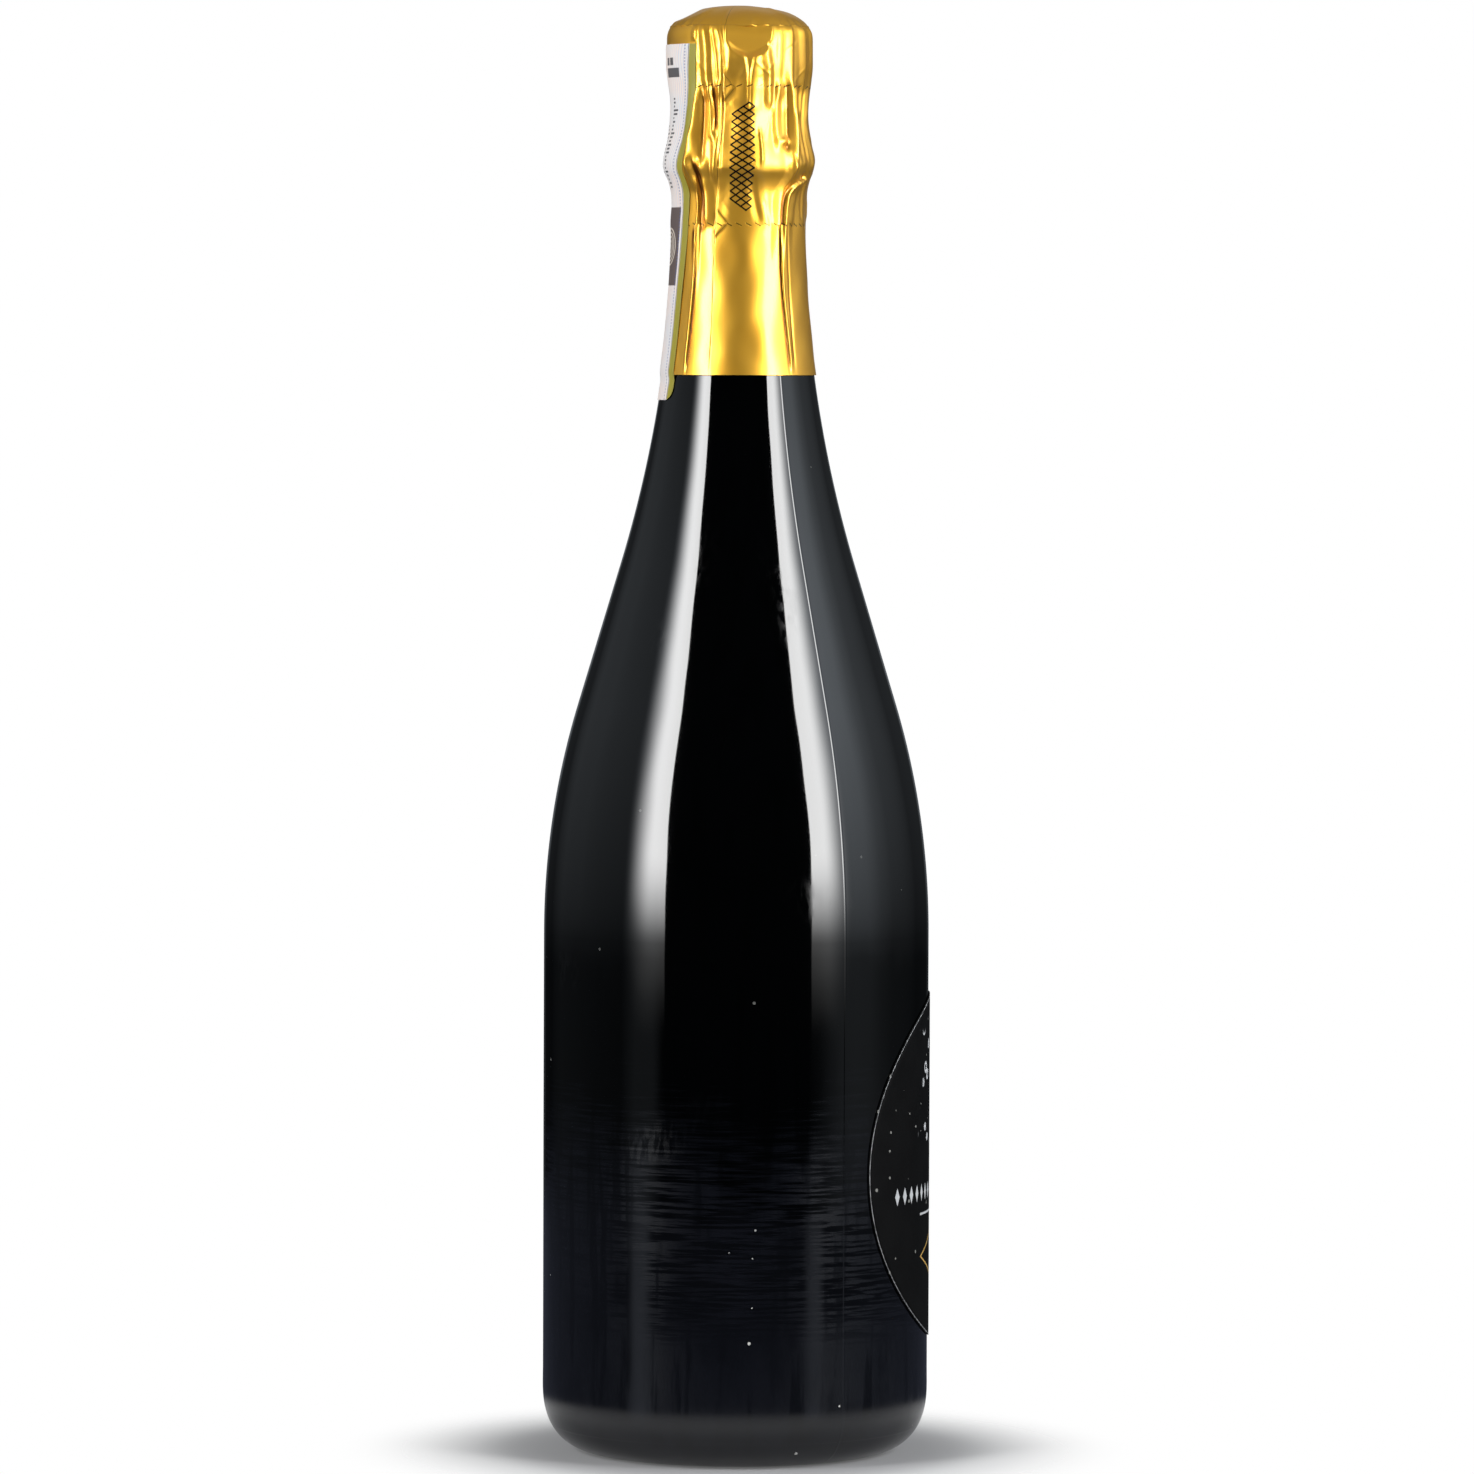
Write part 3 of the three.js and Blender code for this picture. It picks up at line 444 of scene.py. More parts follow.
def glass_patch(columns, unevenness):
    """The bottle's skin from the middle of the punt out under the standing ring, up the heel, body, shoulder and
    neck, over the lip, down the bore and back to the middle of the base inside. The outside swells and sinks by the
    unevenness of blown glass: radius + unevenness * waves(turn, height)."""
    share = np.linspace(0, 1, 26)
    punt = pairs(RING_INNER * share, PUNT_DEPTH * (1 - share ** PUNT_STEEPNESS))
    angle = np.linspace(0, math.pi / 2, 28)
    away, toward = np.sin(angle) ** (2 / HEEL_SQUARENESS), 1 - np.cos(angle) ** (2 / HEEL_SQUARENESS)
    heel = pairs(RING_OUTER + (BODY_RADIUS - RING_OUTER) * away, HEEL_HEIGHT * toward)
    height = np.concatenate([
        np.linspace(HEEL_HEIGHT, SHOULDER_START, 30)[1:], np.linspace(SHOULDER_START, NECK_TOP, 90)[1:]])
    wall = pairs(glass_radius(height), height)
    finish = rounded([
        (NECK_RADIUS, NECK_TOP + 2), (NECK_RADIUS, GROOVE_BOTTOM), (GROOVE_RADIUS, GROOVE_BOTTOM + 1),
        (GROOVE_RADIUS, COLLAR_BOTTOM), (COLLAR_RADIUS, COLLAR_BOTTOM + 0.4), (COLLAR_RADIUS, COLLAR_TOP),
        (GROOVE_RADIUS, COLLAR_TOP + 0.4), (GROOVE_RADIUS, LIP_BOTTOM), (LIP_RADIUS, LIP_BOTTOM + 1), (LIP_RADIUS, RIM),
        (BORE_RADIUS, RIM), (BORE_RADIUS, RIM - 4),
    ], 0.9)
    inner_wall = BODY_RADIUS - BODY_WALL
    depth = np.linspace(RIM - 6, SHOULDER_START, 50)
    bore = pairs(glass_radius(depth, inner_wall, BORE_RADIUS, SHOULDER_ARC - BODY_WALL), depth)
    trough = (RING_INNER + RING_OUTER) / 2
    corner = np.linspace(math.pi / 2, 0, 10)
    inside_heel = pairs(
        trough + (inner_wall - trough) * np.sin(corner), BASE_THICKNESS + HEEL_HEIGHT * (1 - np.cos(corner)))
    back = share[::-2][1:]
    inside_punt = pairs(trough * back, BASE_THICKNESS + PUNT_DEPTH * (1 - back ** PUNT_STEEPNESS))
    profile = np.concatenate([punt, heel, wall, finish, bore, inside_heel, inside_punt])[1:-1]
    turn = turns(columns)
    radius, height = profile[:, :1], profile[:, 1:]
    outside = (np.arange(len(profile)) < len(punt) + len(heel) + len(wall))[:, None] & (height > HEEL_HEIGHT)
    swell = waves(turn, height, 3, 14, (1, 6), (0.01, 0.09))
    radius = radius - np.where(outside, unevenness * (1.0 + 0.5 * swell).clip(0), 0.0)
    return patch(polar(radius, turn, height), start=(0, 0, PUNT_DEPTH), end=(0, 0, BASE_THICKNESS + PUNT_DEPTH))


def strip_middle(height):
    """Turn of the seal strip's middle, in degrees: down the sleeve from its tail, then leaning over the hood."""
    return smooth_curve(height, STRIP_PATH)


def beside_strip(turn, height):
    """0 under the seal strip, rising to 1 a little way off it."""
    return ramp(np.abs(wrap(turn - strip_middle(height))), 33, 38)


def over_legs(turn, width, power=2):
    """Rises to 1 over each leg of the cage."""
    return sum(bell(wrap(turn - at), width, power) for at in LEG_TURNS)


def hood_form(turn, height):
    """Outer radius of the hood before it is crumpled: its outline between the legs, raised over each leg by a bell
    of about 15 degrees and over the key by a broader one."""
    base = smooth_curve(height, HOOD_OUTLINE)
    leg = np.maximum(smooth_curve(height, LEG_OUTLINE) - base, 0)
    key = np.maximum(smooth_curve(height, KEY_OUTLINE) - base, 0)
    return base + np.maximum(leg * over_legs(turn, 7.5), key * bell(wrap(turn - KEY_TURN), 16.0))


def fold(turn, height, path, rise, left, right, crest, taper=0.0):
    """One fold: a tent with a rounded crest and a soft foot, rise * (1 - distance / width). The distance is taken round
    the neck from a curve through the path, with its own width on each side, and the ends fade out, the lower one over
    the taper where it has one."""
    low, high = path[0][0], path[-1][0]
    away = np.radians(wrap(turn - smooth_curve(height, path))) * FOIL_MEAN_RADIUS
    share = 1 - np.hypot(away / np.where(away < 0, left, right), crest)
    fade = min(1.4, 0.2 * (high - low))
    ends = ramp(height, low - fade, low + max(fade, taper)) * ramp(-height, -high - fade, -high + fade)
    return rise * ends * 0.5 * (share + np.sqrt(share ** 2 + 0.02))


def back_folds(count, seed):
    """Folds for the sides that the table of main folds leaves out: evenly dealt turns, upright and a little bent."""
    rng = np.random.default_rng(seed)
    for number in range(count):
        turn = 90 + 178 * (number + rng.uniform(0.2, 0.8)) / count
        if number % 2:
            low, high = 276 + rng.uniform(0, 9), 288 + rng.uniform(3, 18)
        else:
            low, high = 290 + rng.uniform(0, 8), 320
        sways = rng.uniform(-4, 4, 3)
        side = 1 if number % 4 < 2 else -1
        line = ((low, turn + sways[0]), ((low + high) / 2, turn + sways[1]), (high, turn + sways[2]))
        yield line, side * rng.uniform(0.3, 0.55), *rng.uniform(0.8, 1.9, 2), rng.uniform(0.12, 0.35)


def crinkles(turn, height, count, seed):
    """Short small creases all round, each a fold a few millimetres long."""
    rng = np.random.default_rng(seed)
    total = np.zeros(np.broadcast(turn, height).shape)
    for _ in range(count):
        at, middle, lean = rng.uniform(-180, 180), rng.uniform(277, 319), rng.uniform(-12, 12)
        half, rise = rng.uniform(0.8, 3.0), rng.choice((-1, 1)) * rng.uniform(0.03, 0.09)
        near = (np.abs(height[:, 0] - middle) < 2 * half).nonzero()[0]
        line = ((middle - half, at - lean), (middle + half, at + lean))
        total[near] += fold(turn, height[near], line, rise, *rng.uniform(0.35, 0.9, 2), 0.3)
    return total


def lap(turn, height, step):
    """The foil's lap: a sharp step up at the seam that dies away over a quarter of the way round, with a pointed
    tongue over each tear line."""
    away = wrap(turn - smooth_curve(height, SEAM_PATH))
    rise = ramp(away, -0.3, 0.2) * ramp(-away, -70, -8)
    tongue = 0.0
    for line, reach in zip(TONGUE_LINES, (9.5, 10.5)):
        aside = np.abs(height - line)
        inside = reach * (1 - aside / TONGUE_HALF) - away
        tongue = np.maximum(tongue, ramp(inside, -0.2, 0.4) * ramp(away, -0.4, 0.4) * (aside < TONGUE_HALF))
    return step * (rise + 0.9 * tongue)


def hood_relief(turn, height, foil):
    """How far the crumpled hood stands from its form: main folds, bosses, small crinkles, a few soft waves and a ledge
    along the belt, 0.16 * tanh. It lies smooth under the seal strip."""
    counted = wrap(turn - FOLD_SIDE)
    total = 0.06 * waves(counted, height, foil.seed, 10, (5, 16), (0.05, 0.5))
    ledge = bell(height - BELT_LEDGE, 2.2) * bell(counted + 9, 9.0, 4)
    total = total + 0.16 * np.tanh((height - BELT_LEDGE) / 0.3) * ledge
    for line in (*FOLDS, *back_folds(32, foil.seed + 1)):
        total = total + fold(counted, height, *line)
    for at, middle, rise, wide, tall in BOSSES:
        round_the_neck = np.radians(wrap(counted - at)) * FOIL_MEAN_RADIUS
        total = total + rise * np.exp(-(round_the_neck / wide) ** 2 - ((height - middle) / tall) ** 2)
    total = total + crinkles(counted, height, 160, foil.seed + 2)
    free = np.maximum(beside_strip(turn, height), ramp(height, STRIP_TOP, STRIP_TOP + 1.5))
    return foil.crumple * total * free + lap(counted, height, 0.2) * free


def hood_radius(turn, height, foil):
    """Outer radius of the crumpled hood, never less than what lies under it needs, with the pressed flat just under the
    crown on the folds' side."""
    radius = hood_form(turn, height) + hood_relief(turn, height, foil)
    bare = smooth_curve(height, FLOOR_OUTLINE)
    over_leg = np.maximum(smooth_curve(height, LEG_OUTLINE) - 0.2 - bare, 0) * over_legs(turn, 4.0, 4)
    radius = np.maximum(radius, bare + over_leg)
    away = wrap(turn - FOLD_SIDE - FLAT_TURN)
    chord = FLAT_RADIUS / np.cos(np.radians(np.clip(away, -40, 40)))
    foot = FLAT_FOOT + 1.5 * (np.clip(away, -20, 20) / 13.0) ** 2
    pressed = ramp(height - foot, -0.8, 0.8) * (np.abs(away) < 30)
    return np.where(pressed > 0, radius + pressed * np.minimum(chord - radius, 0), radius)


def crown_point(angle):
    """Radius and height of the hood's crown: a squared-off quarter oval from the springing line to the middle."""
    power = 2 / HOOD_SQUARENESS
    return HOOD_RADIUS * np.cos(angle) ** power, CROWN_START + (HOOD_TOP - CROWN_START) * np.sin(angle) ** power


def edged(low, high, rows):
    """Heights of the rows of a thin skin, with a row close to each end so that its edges stay crisp."""
    inner = np.linspace(low, high, rows)
    return np.concatenate([[low, low + 0.02], inner[1:-1], [high - 0.02, high]])[:, None]


def hollow(radius):
    """How far each point lies below the mean radius within 5 degrees of it on its row, in millimetres, or 0."""
    reach = round(radius.shape[1] * 5 / 360)
    mean = sum(np.roll(radius, shift, 1) for shift in range(-reach, reach + 1)) / (2 * reach + 1)
    return np.maximum(mean - radius, 0.0)


def walled(radius, turn, height, drop=0.0):
    """A closed skin of foil: an outer surface of given radii up the rows, and the same surface a wall's thickness
    inside, and a drop below, going back down. The depth of the folds at each point comes with it."""
    outer = polar(radius, turn, height)
    inner = polar(radius - FOIL_WALL, turn, height - drop)[::-1]
    sunk = hollow(radius)
    return patch(np.concatenate([outer, inner]), closed=True), np.concatenate([sunk, sunk[::-1]]).ravel()


def band_patches(foil):
    """The tear band from the lower tear line to the upper one, and the flap of it that lies over the key. Both are
    parts of one closed skin, and each cut edge has a wall from the outer surface to the inner one."""
    columns = foil.columns
    height, turn = edged(LOWER_TEAR, UPPER_TEAR, 76), turns(columns)
    (points, quads, no_fans), creases = walled(hood_radius(turn, height, foil), turn, height)
    rows = len(height)
    foot = np.searchsorted(height[:, 0], FLAP_BOTTOM)
    left, right = np.searchsorted(turn, (KEY_TURN - FLAP_HALF_TURN, KEY_TURN + FLAP_HALF_TURN))
    index = np.arange(2 * rows * columns).reshape(2 * rows, columns)
    outer, inner = index[foot:rows, left:right + 1], index[rows:2 * rows - foot, left:right + 1][::-1]
    walls = np.concatenate([
        edge_wall(outer[:, 0], inner[:, 0]), edge_wall(outer[::-1, -1], inner[::-1, -1]),
        edge_wall(outer[0, ::-1], inner[0, ::-1])])
    over_key = np.zeros((2 * rows, columns), bool)
    over_key[foot:2 * rows - 1 - foot, left:right] = True
    over_key = over_key.ravel()
    parts = []
    for faces in (np.concatenate([quads[~over_key], walls[:, ::-1]]), np.concatenate([quads[over_key], walls])):
        used, numbered = np.unique(faces, return_inverse=True)
        parts.append(((points[used], numbered.reshape(-1, 4), no_fans), creases[used]))
    return parts


def cap_patch(foil):
    """The cap: its crumpled side above the upper tear line, then the crown up to the top disc's edge, where the
    folds die out, and a flange turned in under the disc."""
    turn = turns(foil.columns)
    side = edged(UPPER_TEAR, CROWN_START, 48)[:-2]
    radius = [hood_radius(turn, side, foil)]
    height = [np.broadcast_to(side, radius[0].shape)]
    crown_radius, crown_height = crown_point(np.linspace(0, DISC_ANGLE, 14)[1:, None])
    relief = hood_radius(turn, np.minimum(crown_height, 319.4), foil) - HOOD_RADIUS
    relief = relief * (1 - 0.85 * ramp(crown_height, 317.6, 320.0))
    radius.append(crown_radius + relief)
    height.append(np.broadcast_to(crown_height, relief.shape) + 0.12 * relief)
    for inset, drop in ((0.25, 0.12), (0.7, 0.1), (1.1, 0.05)):
        radius.append(np.full((1, len(turn)), DISC_RADIUS - inset))
        height.append(np.full((1, len(turn)), crown_height[-1] - drop))
    radius, height = np.concatenate(radius), np.concatenate(height)
    return walled(radius, turn, height, FOIL_WALL * ramp(height, 317, 320))


def disc_patch(columns, seed):
    """The top disc: a shallow dome with a beaded edge, dented a little, with the lap running up into it."""
    turn = turns(columns)
    angle = np.concatenate([[DISC_ANGLE] * 3, np.linspace(DISC_ANGLE, math.pi / 2, 40)[1:-1]])[:, None]
    radius, height = crown_point(angle)
    radius[:3, 0] += (0.05, 0.16, 0.12)
    height[:3, 0] += (-0.25, -0.12, 0.02)
    counted = wrap(turn - FOLD_SIDE)
    dents = 0.12 * waves(turn, radius, seed + 5, 8, (1, 4), (0.1, 0.4)) * ramp(radius, 0.0, 6.0)
    crease = -0.45 * bell(np.abs(wrap(counted + 15)), 7.0, 1.2) * ramp(radius, 5, 13)
    bevel = -0.8 * bell(wrap(counted + 88), 25.0) * ramp(radius, 7.5, 12.0) * ramp(-radius, -15.4, -12.5)
    ruffle = 0.07 * waves(turn, radius, seed + 6, 6, (14, 40), (0.0, 0.1)) * ramp(radius, 13.5, 15.3)
    over_leg = over_legs(turn, 7.0) * ramp(radius, 7.0, 9.0) * ramp(-radius, -14.5, -12.0)
    sunk = np.minimum(dents + crease + bevel, 0.0) * (1 - over_leg) + 0.2 * over_leg + ruffle
    outer = polar(radius + 0.8 * ruffle, turn, height + sunk)
    inner = (outer * np.array([0.992, 0.992, 1.0]) - 0.15 * UP)[::-1]
    return patch(np.concatenate([inner, outer]), start=(HOOD_TOP - 0.35) * UP, end=(HOOD_TOP - 0.1) * UP)


def sleeve_patch(foil):
    """The sleeve: the glass's radius and a hair more, with the hood's folds running out down it from the tear line,
    the lap, its own long folds, a few soft flats round it and a lower edge pressed to the glass."""
    turn = turns(foil.columns)
    height = edged(SLEEVE_BOTTOM, LOWER_TEAR, 72)
    counted = wrap(turn - FOLD_SIDE)
    relief = 0.03 * waves(counted, height, foil.seed + 7, 8, (3, 9), (0.0, 0.06)) * ramp(-height, -LOWER_TEAR, -268)
    for line in SLEEVE_FOLDS:
        relief = relief + fold(counted, height, *line)
    free = ramp(height, SLEEVE_BOTTOM - 0.4, SLEEVE_BOTTOM + 5)
    relief = relief * beside_strip(turn, height) * free + hood_relief(turn, height, foil) * free
    base = glass_radius(height) + SLEEVE_LIFT
    base = base + (smooth_curve(height, HOOD_OUTLINE) - base) * ramp(height, 262, LOWER_TEAR)
    return walled(np.maximum(base + relief, glass_radius(height) + SLEEVE_LEAST), turn, height)


def strip_patch(low, high, rows):
    """The seal strip between two heights: a band of paper of one width round its leaning middle line, lying just
    off the foil, with soft wrinkles and rounded corners at its tail. Each point's distance from the middle line, in
    millimetres, comes with it."""
    height = edged(low, high, rows)
    over_sleeve = glass_radius(height) + STRIP_LIFT * ramp(height, SLEEVE_BOTTOM - 1.5, SLEEVE_BOTTOM + 1.0)
    into_corner = np.maximum(STRIP_BOTTOM + STRIP_CORNER - height, 0)
    rounding = STRIP_CORNER - np.sqrt(np.maximum(STRIP_CORNER ** 2 - into_corner ** 2, 0))
    base = np.where(height > LOWER_TEAR, smooth_curve(height, HOOD_OUTLINE), over_sleeve)
    aside = np.linspace(-1, 1, 72) * (STRIP_HALF_WIDTH - rounding)
    turn = strip_middle(height) + np.degrees(aside / base)
    over_hood = hood_form(turn, np.maximum(height, LOWER_TEAR))
    joint = ramp(height, LOWER_TEAR - 3, LOWER_TEAR + 1.5)
    wrinkle = 0.10 * waves(turn, height, 21, 9, (3, 12), (0.1, 0.9)).clip(-1, 1.6) * ramp(height, 262, 284)
    radius = over_sleeve * (1 - joint) + over_hood * joint + 0.20 + np.maximum(wrinkle, -0.05)
    outer, inner = polar(radius, turn, height), polar(radius - PAPER_WALL, turn, height)
    points, quads, fans = patch(np.concatenate([outer, inner[:, ::-1]], axis=1))
    index = np.arange(len(points)).reshape(len(height), -1)
    half = index.shape[1] // 2
    faces = [quads]
    for row, order in ((0, (1, 0, 3, 2)), (-1, (0, 1, 2, 3))):
        faces.append(edge_wall(index[row, :half], index[row, :half - 1:-1])[:, order])
    return (points, np.concatenate(faces), fans), np.concatenate([aside, aside[:, ::-1]], axis=1).ravel()


def label_patch():
    """The round label: rings of points round its middle, wrapped on the body: the distance round the body is the
    distance across the paper."""
    corner = np.radians(turns(128))
    ring = np.linspace(LABEL_RADIUS, 0, 25)[:-1, None]
    turn, height = np.degrees(ring * np.cos(corner) / BODY_RADIUS), LABEL_HEIGHT + ring * np.sin(corner)
    front, back = BODY_RADIUS + LABEL_FRONT, BODY_RADIUS + LABEL_BACK
    grid = np.concatenate([polar(back, turn, height)[::-1], polar(front, turn, height)])
    return patch(grid, start=(back, 0, LABEL_HEIGHT), end=(front, 0, LABEL_HEIGHT))


def head_height(radius, rise):
    """Height of the cork's domed head, or of a dome a little above it."""
    return HEAD_TOP + rise - radius ** 2 / (2 * HEAD_DOME)


def cork_patch(columns):
    """The mushroom cork's body: shank, flare out to the head, rounded corner and shallow dome, swollen unevenly as
    a cork is after months under the cage."""
    start = HEAD_RADIUS - HEAD_CORNER_WIDTH
    shank_end = CORK_BOTTOM + 2 * CORK_DISC
    angle = np.linspace(0, math.pi / 2, 12)
    corner_rise = head_height(start, 0) - HEAD_CORNER
    corner = pairs(start + HEAD_CORNER_WIDTH * np.cos(angle), HEAD_CORNER + corner_rise * np.sin(angle))
    crown = np.linspace(start, 0, 16)[1:]
    side = rounded([
        (SHANK_RADIUS, shank_end), (SHANK_RADIUS, RIM + FIT), (BORE_RADIUS + FIT, RIM + FIT),
        (HEAD_RADIUS, RIM + FIT + HEAD_FLARE), (HEAD_RADIUS, HEAD_CORNER)], 0.8, 7)
    foot = [(0, shank_end), (SHANK_RADIUS * 0.97, shank_end)]
    points, quads, fans = lathe(np.concatenate([foot, side, corner[1:], pairs(crown, head_height(crown, 0))]), columns)
    x, y, z = points.T
    turn, radius = np.degrees(np.arctan2(y, x)), np.hypot(x, y)
    pressed = 1 - 0.012 * (1 + waves(turn, z, 31, 9, (1, 5), (0.1, 0.5)).clip(-1, 1)) * (radius > 1)
    return np.stack([x * pressed, y * pressed, z], -1), quads, fans


def cork_disc_patch(bottom, columns):
    """A disc of natural cork with rounded rims."""
    top, inset = bottom + CORK_DISC - 0.1, SHANK_RADIUS - 2
    side = rounded([(inset, bottom), (SHANK_RADIUS, bottom), (SHANK_RADIUS, top), (inset, top)], 0.5)
    return lathe(np.concatenate([[(0, bottom)], side, [(0, top)]]), columns)


def plaque_patch(columns):
    """The plaque: a thin dome on the cork's head with two raised rings and a rolled edge."""
    radius = np.linspace(0, PLAQUE_RADIUS, 60)
    emboss = 0.10 * bell(radius - 9.9, 0.35) + 0.07 * bell(radius - 5.2, 0.3)
    rolled = 0.06 * bell(radius - 11.6, 0.3)
    under = pairs(radius, head_height(radius, FIT))
    over = pairs(radius, head_height(radius, FIT + PLAQUE_THICKNESS - 0.12) + emboss + rolled)[::-1]
    return lathe(np.concatenate([under, over]), columns)


def leg_line(steps):
    """Middle line of a cage leg as radius and height, from the crown ring over the cork's head to its foot eye,
    and the share of the way along it."""
    plaque = FIT + PLAQUE_THICKNESS
    halfway = (CROWN_RADIUS + PLAQUE_RADIUS) / 2
    corner = math.pi / 6
    corner_rise = head_height(HEAD_RADIUS - HEAD_CORNER_WIDTH, 0) - HEAD_CORNER
    normal = np.array([math.cos(corner) / HEAD_CORNER_WIDTH, math.sin(corner) / corner_rise])
    normal *= LEG_OFFSET / np.linalg.norm(normal)
    return knotted([
        (CROWN_RADIUS, head_height(CROWN_RADIUS, plaque) + FIT + 0.4),
        (halfway, head_height(halfway, plaque) + LEG_OFFSET),
        (PLAQUE_RADIUS + LEG_OFFSET, head_height(PLAQUE_RADIUS, plaque)),
        (HEAD_RADIUS - HEAD_CORNER_WIDTH * (1 - math.cos(corner)) + normal[0],
         HEAD_CORNER + corner_rise * math.sin(corner) + normal[1]),
        (HEAD_LEG_RADIUS, HEAD_CORNER), (HEAD_LEG_RADIUS, RIM + HEAD_FLARE), (LIP_RADIUS + LEG_OFFSET, RIM - 2.75),
        (COLLAR_LEG_RADIUS, COLLAR_TOP), (COLLAR_LEG_RADIUS, COLLAR_BOTTOM), (BELT_RADIUS, BELT_HEIGHT + EYE_RADIUS),
    ], steps)


def strands(line, turn, twist, wire):
    """Two round wires twisted together along a line of radius and height at a turn: each stands half a wire from the
    line, turned by twist about it."""
    across = outward(turn + 90)
    path = line[:, :1] * outward(turn) + line[:, 1:] * UP
    side = np.cross(across, unit(np.gradient(path, axis=0)))
    reach = np.cos(twist)[:, None] * side + np.sin(twist)[:, None] * across
    return [tube(path + sign * wire / 2 * reach, across, wire / 2) for sign in (-1, 1)]


def outward(turn):
    """Unit vector out from the axis at a turn."""
    return np.array([math.cos(math.radians(turn)), math.sin(math.radians(turn)), 0.0])


def wire_ring(middle, first, second, steps, across, wire):
    """A wire bent into an oval: middle + first * cos + second * sin."""
    angle = (np.arange(steps) * 2 * math.pi / steps)[:, None]
    path = np.asarray(middle) + np.cos(angle) * np.asarray(first) + np.sin(angle) * np.asarray(second)
    return tube(path, across, wire / 2, closed=True)


def level_ring(radius, height, steps, wire):
    """A round wire ring about the axis."""
    return wire_ring((0, 0, height), (radius, 0, 0), (0, radius, 0), steps, (0, 0, 1), wire)


def cage_patches(wire):
    """The crown ring and the four legs, each two wires twisted together five half turns and then laid flat over the
    collar, ending in an eye round the belt."""
    parts = [level_ring(CROWN_RADIUS, head_height(CROWN_RADIUS, FIT + PLAQUE_THICKNESS) + FIT + wire / 2, 96, wire)]
    line, share = leg_line(120)
    twist = math.pi * (0.5 + 5 * np.maximum(0, 1 - share / 0.72))
    for turn in LEG_TURNS:
        out = outward(turn)
        parts += strands(line, turn, twist, wire)
        middle = BELT_RADIUS * out + BELT_HEIGHT * UP
        parts.append(wire_ring(middle, EYE_RADIUS * out, EYE_RADIUS * UP, 28, -outward(turn + 90), wire))
    return parts


def key_patches(wire):
    """The key: two wires twisted into a stem up from the belt, then an oval loop flat against the neck."""
    out, sideways = outward(KEY_TURN), outward(KEY_TURN + 90)
    line, share = knotted([
        (KEY_ROOT_RADIUS, BELT_HEIGHT), (COLLAR_RADIUS + LEG_OFFSET, (COLLAR_BOTTOM + COLLAR_TOP) / 2),
        (KEY_LOOP_RADIUS, KEY_LOOP_BOTTOM + 0.4)], 48)
    twist = math.pi / 2 + math.pi * 1.5 * np.maximum(0, share - 0.3)
    middle = KEY_LOOP_RADIUS * out + (KEY_LOOP_BOTTOM + KEY_LOOP_TOP) / 2 * UP
    half_width, half_height = (KEY_LOOP_WIDTH - wire) / 2, (KEY_LOOP_TOP - KEY_LOOP_BOTTOM - wire) / 2
    loop = wire_ring(middle, half_width * sideways, half_height * UP, 56, out, wire)
    return strands(line, KEY_TURN, twist, wire) + [loop]


class Value:
    """An output in a node tree. Sums, products, powers and comparisons of it add the maths nodes that work them out."""

    def __init__(self, nodes, socket):
        self.nodes, self.socket = nodes, socket

    def __add__(self, other):
        return self.nodes.math("ADD", self, other)

    __radd__ = __add__

    def __sub__(self, other):
        return self.nodes.math("SUBTRACT", self, other)

    def __rsub__(self, other):
        return self.nodes.math("SUBTRACT", other, self)

    def __mul__(self, other):
        return self.nodes.math("MULTIPLY", self, other)

    def __truediv__(self, other):
        return self.nodes.math("DIVIDE", self, other)

    def __pow__(self, other):
        return self.nodes.math("POWER", self, other)

    def __abs__(self):
        return self.nodes.math("ABSOLUTE", self)

    def __lt__(self, other):
        return self.nodes.math("LESS_THAN", self, other)

    def __gt__(self, other):
        return self.nodes.math("GREATER_THAN", self, other)


def opaque(colour):
    """A colour with its alpha of 1; a node's output stays as it is."""
    return colour if isinstance(colour, Value) else (*colour, 1.0)


def times(colour, share):
    """A colour made darker or lighter."""
    return tuple(share * part for part in colour)


